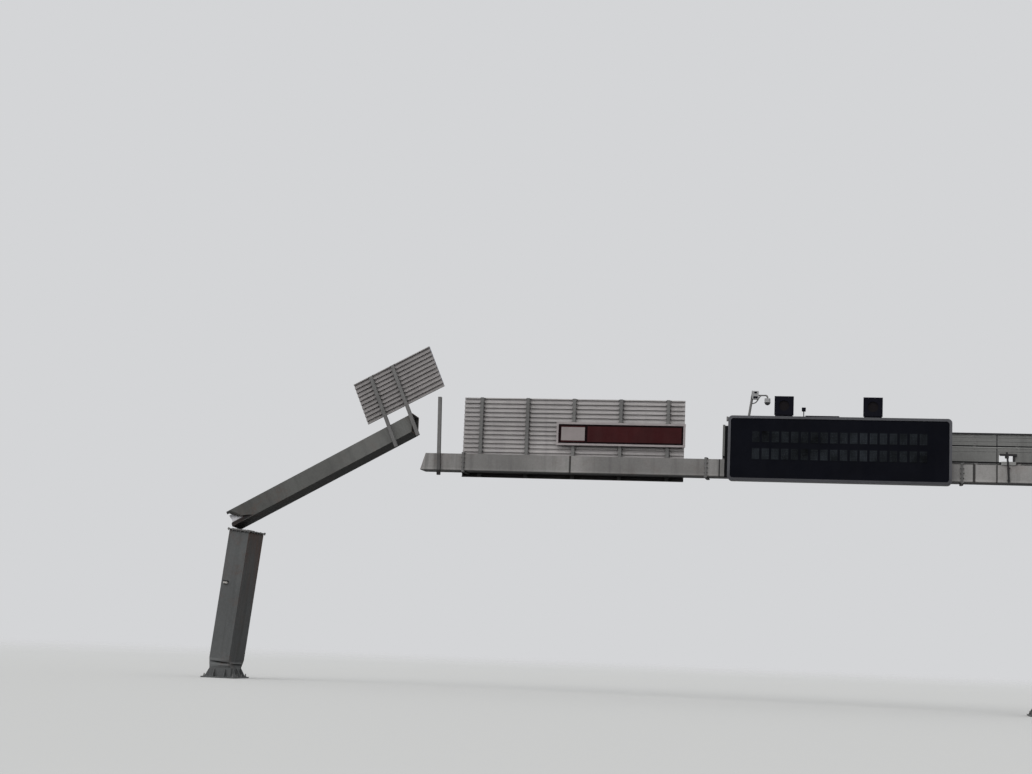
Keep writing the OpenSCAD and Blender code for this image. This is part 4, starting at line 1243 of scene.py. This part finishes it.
class GANTRY_OT_beam_fittings(bpy.types.Operator):
    """Adds the beam's seam welds, its conduit, the hatch's sill and the uprights at the walkway's left end"""
    bl_idname = "gantry.beam_fittings"
    bl_label = "Beam fittings"

    def execute(self, context):
        low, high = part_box("beam_section_right")
        from_edge = 0.01
        welds("beam_seam_welds", [[(x, low.y, low.z + from_edge), (x, low.y, high.z - from_edge)]
                                  for x in beam_seams()], "beam_paint")
        self.conduit(low, high)
        self.sill(low.y, high.z)
        self.uprights(low.y, low.z)
        return {"FINISHED"}

    def conduit(self, low, high):
        """A conduit up the beam's near web, leaning a little to the left, with two clips."""
        x, y = -signs().hatch, low.y - 0.035
        foot, bend, end = (x + 0.01, y, low.z + 0.02), (x - 0.015, y, high.z), (x - 0.05, y, high.z + 0.36)
        clip_left, clip_right, clip_out, half_clip, from_edge = 0.034, 0.04, 0.066, 0.015, 0.08
        conduit = Shape().tube((foot, bend, end), radius=0.028, sides=14)
        for z in (low.z + from_edge, high.z - from_edge):
            conduit.box((x - clip_left, low.y - clip_out, z - half_clip),
                        (x + clip_right, low.y - GAP, z + half_clip))
        conduit.piece("beam_conduit", "dark_rail", "bright_steel")

    def sill(self, face, top):
        """A sill on the beam, before the hatch in the walkway, painted with the lighter highlight copy of the
        parapet's metal.
        """
        left, right = hatch_ends()
        floor_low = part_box("walkway_floor")[0].z
        out, back, above = 0.02, 0.03, 0.05
        # Painted highlight: the sill wears the lighter copy of the parapet's metal.
        block("hatch_sill", (left, face - out, top + GAP), (right, face + back, floor_low + above),
              "bright_edge", "bright_steel", bevel=0.004)

    def uprights(self, face, foot):
        """The walkway's corner post, and beside it a near-black channel, painted shade of the gap between the
        message sign and the beam.
        """
        low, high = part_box("walkway_end_panels")
        post_right, post_out, lift = low.x + 0.065, 0.05, 0.001
        left, right, channel_out, below, under_top = low.x + 0.066, low.x + 0.185, 0.06, 0.02, 0.03
        block("walkway_corner_post", (low.x, face - post_out, low.z + lift), (post_right, face - GAP, high.z),
              "parapet_metal", "bright_steel", bevel=0.004)
        # Painted shade: a near-black channel stands for the shade in the gap between the message sign and the
        # beam's web.
        plain_plastic("side_channel_paint", paint(24, 24, 26), roughness=0.8, specular=0.04)
        block("message_sign_side_shade_channel", (left, face - channel_out, foot - below),
              (right, face - GAP, high.z - under_top), "side_channel_paint", "bright_steel", bevel=0.006)


class GANTRY_OT_camera_fittings(bpy.types.Operator):
    """Adds the camera's junction box, its strut and the collar over its dome"""
    bl_idname = "gantry.camera_fittings"
    bl_label = "Camera fittings"

    def execute(self, context):
        low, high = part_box("camera_pole")
        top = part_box("message_sign_housing")[1].z
        from_left = 0.08
        self.junction_box(low.x + from_left, (low.y + high.y) / 2, top)
        self.strut(low.x + from_left, (low.y + high.y) / 2, top)
        self.collar()
        return {"FINISHED"}

    def junction_box(self, foot, y, top):
        """A box beside the pole, with two dark covers on its front."""
        front, back, cover = y - 0.13, y - 0.036, 0.012
        block("camera_junction_box", (foot + 0.085, front, top + 0.48), (foot + 0.27, back, top + 0.73),
              "hood", "camera_white", bevel=0.018)
        covers = Shape()
        for x0, x1, z0, z1 in ((0.15, 0.225, 0.66, 0.705), (0.125, 0.245, 0.515, 0.57)):
            covers.box((foot + x0, front - cover, top + z0), (foot + x1, front - SHEET_GAP, top + z1))
        covers.piece("camera_box_covers", "lantern_face", "lantern_black", bevel=0.005)

    def strut(self, foot, y, top):
        """A bent strut from the pole, under the box and up to its right."""
        out = 0.02
        bends = ((0.05, 0.385), (0.115, 0.375), (0.185, 0.4), (0.235, 0.46), (0.29, 0.56), (0.345, 0.61))
        strut = Shape().tube([(foot + a, y - out, top + b) for a, b in bends], radius=0.017, sides=10)
        strut.piece("camera_strut", "zinc", "bright_steel", smooth=True)

    def collar(self):
        """A ring round the dome's upper rim."""
        low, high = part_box("camera_dome")
        centre, clear = (low + high) / 2, 0.004
        rim = [(centre.x + u, centre.y + v, high.z) for u, v in circle((high.x - low.x) / 2 + clear, 40)]
        collar = Shape().tube(rim, radius=0.006, sides=8, closed=True)
        collar.piece("camera_dome_collar", "hood", "camera_white", smooth=True)


class GANTRY_OT_sign_fittings(bpy.types.Operator):
    """Adds the message sign's lug, hinges and handles, the lanterns' rings and the signs' borders"""
    bl_idname = "gantry.sign_fittings"
    bl_label = "Sign fittings"

    def execute(self, context):
        low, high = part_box("message_sign_housing")
        out, front, back, foot, head = 0.055, low.y + 0.01, low.y + 0.1, high.z - 0.16, high.z - 0.03
        block("message_sign_lug", (low.x - out, front, foot), (low.x - GAP, back, head), "zinc",
              "bright_steel", bevel=0.006)
        self.skirts(high.z)
        self.doors()
        self.rings()
        self.borders()
        return {"FINISHED"}

    def skirts(self, top):
        """Dark plates that close the gap under the lanterns, and the light sensor's hood."""
        low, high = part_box("lantern_boxes")
        lens_low, lens_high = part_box("lantern_lenses")
        side = 2 * high.z - lens_low.z - lens_high.z
        inset, front, back = 0.02, low.y + 0.02, low.y + 0.026
        plates = Shape()
        for x in (low.x, high.x - side):
            plates.box((x + inset, front, top + GAP), (x + side - inset, back, high.z - side - GAP))
        plates.piece("lantern_skirts", "lantern_face", "lantern_black")
        low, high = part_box("light_sensor")
        x, y = (low.x + high.x) / 2, (low.y + high.y) / 2
        foot, head, across = high.z - 0.11, high.z - 0.002, 0.75 * (high.x - low.x)
        hood = Shape().rod((x, y, foot), (x, y, head), 0.9 * across, across, sides=24)
        hood.piece("light_sensor_hood", "lantern_face", "lantern_black", bevel=0.004, smooth=True)

    def doors(self):
        """Hinges and handles on the doors in the message sign's back."""
        low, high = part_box("message_sign_doors")
        doors, gap, post = 4, 0.05, signs().post
        pitch = (high.x - low.x + post + 2 * gap) / doors
        wide = pitch - post - 2 * gap
        tall = high.z - low.z
        hinge, handle = (0.026, 0.012, 0.13), (0.03, 0.024, 0.16)
        hinge_in, handle_in, heights = 0.02, 0.06, (0.12, 0.5, 0.88)
        for k, share in enumerate(heights):
            middle = (low.x + hinge_in, high.y + hinge[1] / 2 + GAP, low.z + share * tall)
            bar_row(f"message_sign_hinges_{k + 1}", middle, (pitch, 0, 0), doors, hinge, "zinc")
        middle = (low.x + wide - handle_in, high.y + handle[1] / 2 + GAP, low.z + tall / 2)
        bar_row("message_sign_handles", middle, (pitch, 0, 0), doors, handle, "lantern_face")

    def rings(self):
        """A bezel round each lantern's lens."""
        low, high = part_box("lantern_lenses")
        radius, clear, thick = (high.z - low.z) / 2, 0.004, 0.008
        y, z = low.y + thick, (low.z + high.z) / 2
        bezels = Shape()
        for x in (low.x + radius, high.x - radius):
            rim = [(x + u, y, z + v) for u, v in circle(radius + clear, 48)]
            bezels.tube(rim, thick, sides=8, closed=True)
        bezels.piece("lantern_bezels", "lantern_face", "lantern_black", smooth=True)

    def borders(self):
        """The pale edge line on the faces of the two blue signs."""
        g = signs()
        small_across, cut_short = 2.6, 0.0015
        plain_plastic("border_sheet", finishes().border, roughness=0.4, mottle=0.05, dust=0.2)
        low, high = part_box("large_sign_face")
        self.edge_line("large_sign_border", None, (low.x, high.y + SHEET_GAP, low.z), high.x - low.x,
                       high.z - low.z, 0.0)
        back = high.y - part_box("large_sign_planks")[0].y
        self.edge_line("small_sign_border", small_sign(), (0.0, back + SHEET_GAP, 0.0), small_across,
                       g.rows * g.pitch - cut_short, math.tan(g.rack))

    def edge_line(self, name, turned, corner, across, tall, shear):
        """Four strips just inside the edge of a sheet whose sides lean by the shear."""
        inner, outer, thick = 0.02, 0.05, 0.0015
        border = Shape(turned)
        for x0, z0, x1, z1 in ((inner, inner, across - inner, outer),
                               (inner, tall - outer, across - inner, tall - inner),
                               (inner, outer, outer, tall - outer),
                               (across - outer, outer, across - inner, tall - outer)):
            outline = [(x + shear * z, z) for x, z in ((x0, z0), (x1, z0), (x1, z1), (x0, z1))]
            border.prism(outline, thick, Matrix.Translation(corner))
        border.piece(name, "border_sheet", "sign_face")


class GANTRY_OT_leg_fittings(bpy.types.Operator):
    """Adds the struck leg's lamp, and the welds of feet and flanges"""
    bl_idname = "gantry.leg_fittings"
    bl_label = "Leg fittings"

    def execute(self, context):
        d = damage()
        low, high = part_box("right_leg_lower")
        at = Vector((-0.18, low.y, 2.53))
        plain_plastic("lamp_plastic", paint(165, 162, 157), roughness=0.4)
        # The dark hood over the lamp is painted shade: it stands for the shadow above the lamp.
        for name, half, out, foot, top, finish, slot, bevel in (
                ("leg_lamp", 0.07, 0.055, -0.035, 0.035, "lamp_plastic", "camera_white", 0.012),
                ("leg_lamp_shade_hood", 0.085, 0.07, 0.0355, 0.06, "dark_rail", "bright_steel", 0.003)):
            block(name, at + Vector((-half, -out, foot)), at + Vector((half, -GAP, top)), finish, slot, bevel,
                  twisted_leg())

        def square(matrix, z):
            corners = ((low.x, low.y), (high.x, low.y), (high.x, high.y), (low.x, high.y), (low.x, low.y))
            return [tuple(matrix @ Vector((x, y, z))) for x, y in corners]

        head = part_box("right_leg_upper")[1].z
        paths = [square(Matrix(), z) for z in (low.z, high.z, high.z + 2 * d.flange, head)]
        paths.append(square(Matrix.Translation((-d.foot, 0.0, 0.0)), low.z))
        paths.append(square(twisted_leg(), d.shaft))
        welds("leg_welds", paths, "leg_paint", seed=21)
        return {"FINISHED"}


class GANTRY_OT_torn_steel(bpy.types.Operator):
    """Crumples the struck leg's fold and tears the broken beam's edges"""
    bl_idname = "gantry.torn_steel"
    bl_label = "Torn steel"

    def execute(self, context):
        self.crumple()
        self.shards()
        self.slag()
        return {"FINISHED"}

    def crumple(self):
        """The fold: a buckled skin between the foot's outline and the shaft's outline."""
        d = damage()
        low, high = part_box("left_leg_stub")
        half_width, half_depth = (high.x - low.x) / 2, (high.y - low.y) / 2
        levels, steps, wall, outwards, inwards = 26, 28, 0.02, 0.036, -0.03
        bottom = Matrix.Translation((-d.foot, 0.0, d.fold))
        top = twisted_leg() @ Matrix.Translation((0, 0, d.crumple))
        random.seed(4)
        phase = [random.uniform(-0.5, 0.5) for _ in range(4)]

        def outline(inset):
            """Points round the leg, each with its way out, its share of the side and the side's number."""
            w, h = half_width - inset, half_depth - inset
            corners = [Vector(c) for c in ((-w, -h), (w, -h), (w, h), (-w, h))]
            points = []
            for side in range(4):
                a, b = corners[side], corners[(side + 1) % 4]
                out = Vector(((b - a).y, -(b - a).x)).normalized()
                points += [(a.lerp(b, i / steps), out, i / steps, side) for i in range(steps)]
            return points

        buckled = Shape()
        skins = []
        for inset in (0.0, wall):
            rows = []
            for level in range(levels + 1):
                s = level / levels
                envelope = math.sin(math.pi * s) ** 0.8
                row = []
                for p, out, t, side in outline(inset):
                    across = math.sin(math.pi * t) ** 0.7
                    long_wave = math.sin(math.tau * 1.5 * s + phase[side]) * 0.75
                    wave = long_wave + 0.25 * math.sin(math.tau * 3 * s + 2 * t)
                    push = envelope * across * wave * (outwards if side % 2 == 0 else inwards)
                    flat = Vector((p.x + out.x * push, p.y + out.y * push, 0.0))
                    row.append(buckled.mesh.verts.new((bottom @ flat).lerp(top @ flat, s)))
                rows.append(row)
            for one, two in zip(rows, rows[1:]):
                buckled.skin(one, two)
            skins.append(rows)
        for level in (0, levels):
            buckled.skin(skins[0][level], skins[1][level])
        buckled.piece("crumpled_fold", "struck_paint", "galvanised_steel", replaces=("left_leg_fold",))

    def shards(self):
        """Torn slivers along the tear in the near web and along the flap under it."""
        d = damage()
        low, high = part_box("beam_section_middle")
        inner = high.z - low.z - 2 * d.wall
        spacing, overlap = 0.022, 0.003
        tear_line = ((0.0, 0.86), (0.16, 0.84), (0.25, 0.66), (0.47, 0.34), (0.59, 0.3), (0.8, 0.18),
                     (1.0, 0.0))
        points = [Vector((u * d.tear, 0.0, d.wall + v * inner)) for u, v in tear_line]
        inwards = Matrix.Translation((0.0, 0.003, 0.0))
        web = Matrix.Translation((0.0, low.y, 0.0)) @ inwards
        hinge = Matrix.Translation((0.0, low.y, d.wall)) @ Matrix.Rotation(-d.flap, 4, "X")
        flap = hinge @ Matrix.Translation((0.0, 0.0, -d.wall)) @ inwards
        random.seed(12)
        slivers = Shape(broken_beam())
        for a, b in zip(points, points[1:]):
            along = (b - a).normalized()
            out = Vector((along.z, 0.0, -along.x))
            count = max(2, round((b - a).length / spacing))
            for i in range(count):
                start, end = a.lerp(b, i / count), a.lerp(b, (i + 1) / count)
                for placed, side in ((web, 1.0), (flap, -1.0)):
                    reach = random.uniform(0.002, 0.014)
                    tip = (start + end) / 2 + out * side * reach + along * random.uniform(-0.006, 0.006)
                    base = -out * side * overlap
                    outline = [(p.x, p.z) for p in (start + base, end + base, tip)]
                    slivers.prism(outline, d.wall * 0.6, placed)
        slivers.piece("torn_slivers", "broken_paint", "galvanised_steel")

    def slag(self):
        """Beads of slag along the two torch-cut ends."""
        d = damage()
        low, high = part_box("beam_section_middle")
        half = d.wall / 2
        y0, y1, z0, z1 = low.y + half, high.y - half, half, high.z - low.z - half

        def cut(matrix, end, slant):
            share = z0 / (high.z - low.z)
            foot, top = end + share * slant, end + (1 - share) * slant
            corners = ((foot, y0, z0), (top, y0, z1), (top, y1, z1), (foot, y1, z0), (foot, y0, z0))
            return [tuple(matrix @ Vector(c)) for c in corners]

        stub = Matrix.Translation((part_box("beam_stub")[0].x, 0.0, low.z))
        stub_slant = 0.15
        weathered_metal_with_shade("burnt_edge", finishes().rust, patch=0.3, spangle=0.1, rust=0.4)
        welds("cut_slag", [cut(broken_beam(), d.cut_end, d.slant), cut(stub, 0.0, stub_slant)], "burnt_edge",
              seed=23, ripple=0.55)


class GANTRY_OT_stage(bpy.types.Operator):
    """Sets the camera, the light and the pale floor"""
    bl_idname = "gantry.stage"
    bl_label = "Stage"

    def execute(self, context):
        s = context.scene.gantry_stage
        self.camera(context.scene, s)
        self.world(context.scene, s)
        self.floor(context.scene, s)
        lamp = bpy.data.lights.new("soft_lamp", "SUN")
        lamp.energy = s.sun
        lamp.angle = s.sun_size
        placed = bpy.data.objects.new("soft_lamp", lamp)
        shines = Vector((0.45, 0.75, -1.0))
        placed.rotation_euler = shines.to_track_quat("-Z", "Y").to_euler()
        context.scene.collection.objects.link(placed)
        context.scene.view_settings.view_transform = "Standard"
        return {"FINISHED"}

    def camera(self, scene, s):
        """Looks up at the gantry from the road, at the angle of the photograph."""
        forward = Vector((-math.sin(s.yaw) * math.cos(s.pitch), math.cos(s.yaw) * math.cos(s.pitch),
                          math.sin(s.pitch)))
        level = Vector((math.cos(s.yaw), math.sin(s.yaw), 0.0))
        upright = level.cross(forward)
        right = math.cos(s.roll) * level + math.sin(s.roll) * upright
        up = math.cos(s.roll) * upright - math.sin(s.roll) * level
        lens = bpy.data.cameras.new("camera")
        lens.lens = s.lens
        lens.sensor_width = 36.0
        lens.clip_end = 1000.0
        placed = bpy.data.objects.new("camera", lens)
        turned = Matrix((right, up, -forward)).transposed().to_4x4()
        placed.matrix_world = Matrix.Translation(s.place) @ turned
        scene.collection.objects.link(placed)
        scene.camera = placed

    def seen(self, n):
        """One where the camera, a reflection or a view through glass looks, else nought."""
        path = n.add("ShaderNodeLightPath").outputs
        return n.math("MAXIMUM", path["Is Camera Ray"],
                      n.math("MAXIMUM", path["Is Glossy Ray"], path["Is Transmission Ray"]))

    def world(self, scene, s):
        """An overcast sky for the light, and a plain backdrop for the eye."""
        scene.world = bpy.data.worlds.new("overcast")
        scene.world.use_nodes = True
        n = Nodes(scene.world.node_tree)
        z = n.parts(n.out("ShaderNodeTexCoord", socket="Generated"))["Z"]
        light = n.out("ShaderNodeBackground", {"Color": (0.98, 0.99, 1.0, 1.0),
                                               "Strength": n.span(z, 0.0, 1.0, s.rim, s.sky)})
        backdrop = n.out("ShaderNodeBackground", {"Color": (*s.backdrop, 1.0), "Strength": 1.0})
        both = n.out("ShaderNodeMixShader", {0: self.seen(n), 1: light, 2: backdrop})
        n.add("ShaderNodeOutputWorld", {"Surface": both})

    def floor(self, scene, s):
        """A wide floor that fades into the backdrop."""
        under, radius, fade_start, fade_end = (-12.0, 0.0, -0.001), 300.0, 25.0, 110.0
        mesh = bmesh.new()
        bmesh.ops.create_circle(mesh, cap_ends=True, segments=96, radius=radius,
                                matrix=Matrix.Translation(under))
        data = bpy.data.meshes.new("floor")
        mesh.to_mesh(data)
        mesh.free()
        n = new_material("pale_floor")
        reach = n.out("ShaderNodeVectorMath", {0: object_place(n)}, "Value", operation="LENGTH")
        pale = n.out("ShaderNodeBsdfDiffuse", {"Color": (*s.floor, 1.0)})
        dark = n.out("ShaderNodeBsdfDiffuse", {"Color": (*s.ground, 1.0)})
        faded = n.span(reach, fade_start, fade_end, smooth=True)
        shown = n.out("ShaderNodeMixShader", {0: faded, 1: pale, 2: n.out("ShaderNodeBsdfTransparent")})
        n.add("ShaderNodeOutputMaterial",
              {"Surface": n.out("ShaderNodeMixShader", {0: self.seen(n), 1: dark, 2: shown})})
        wear(data, "pale_floor")
        placed = bpy.data.objects.new("floor", data)
        scene.collection.objects.link(placed)


# Panel and registration


class GANTRY_PT_panel(bpy.types.Panel):
    """Lists the gantry's pieces and their sizes in the sidebar"""
    bl_idname = "GANTRY_PT_panel"
    bl_label = "Gantry"
    bl_space_type = "VIEW_3D"
    bl_region_type = "UI"
    bl_category = "Gantry"

    def draw(self, context):
        for maker in MAKERS:
            self.layout.operator(maker.bl_idname)
        for name in GROUPS:
            group = getattr(context.scene, name)
            box = self.layout.box()
            box.label(text=group.bl_rna.name)
            for key in group.bl_rna.properties.keys():
                if key not in {"rna_type", "name"}:
                    box.prop(group, key)


GROUPS = {
    "gantry_finishes": GantryFinishes,
    "gantry_fasteners": GantryFasteners,
    "gantry_signs": GantrySigns,
    "gantry_display": GantryDisplay,
    "gantry_damage": GantryDamage,
    "gantry_stage": GantryStage,
}
MAKERS = (GANTRY_OT_stage, GANTRY_OT_finishes, GANTRY_OT_flange_bolts, GANTRY_OT_sign_clips,
          GANTRY_OT_display, GANTRY_OT_board, GANTRY_OT_walkway, GANTRY_OT_beam_fittings,
          GANTRY_OT_camera_fittings, GANTRY_OT_sign_fittings, GANTRY_OT_leg_fittings, GANTRY_OT_torn_steel)


def register():
    for kind in (*GROUPS.values(), *MAKERS, GANTRY_PT_panel):
        bpy.utils.register_class(kind)
    for name, group in GROUPS.items():
        setattr(bpy.types.Scene, name, PointerProperty(type=group))


def unregister():
    for name in GROUPS:
        delattr(bpy.types.Scene, name)
    for kind in (GANTRY_PT_panel, *reversed(MAKERS), *GROUPS.values()):
        bpy.utils.unregister_class(kind)


def main():
    register()
    for maker in MAKERS:
        area, name = maker.bl_idname.split(".")
        getattr(getattr(bpy.ops, area), name)()


if __name__ == "__main__":
    main()
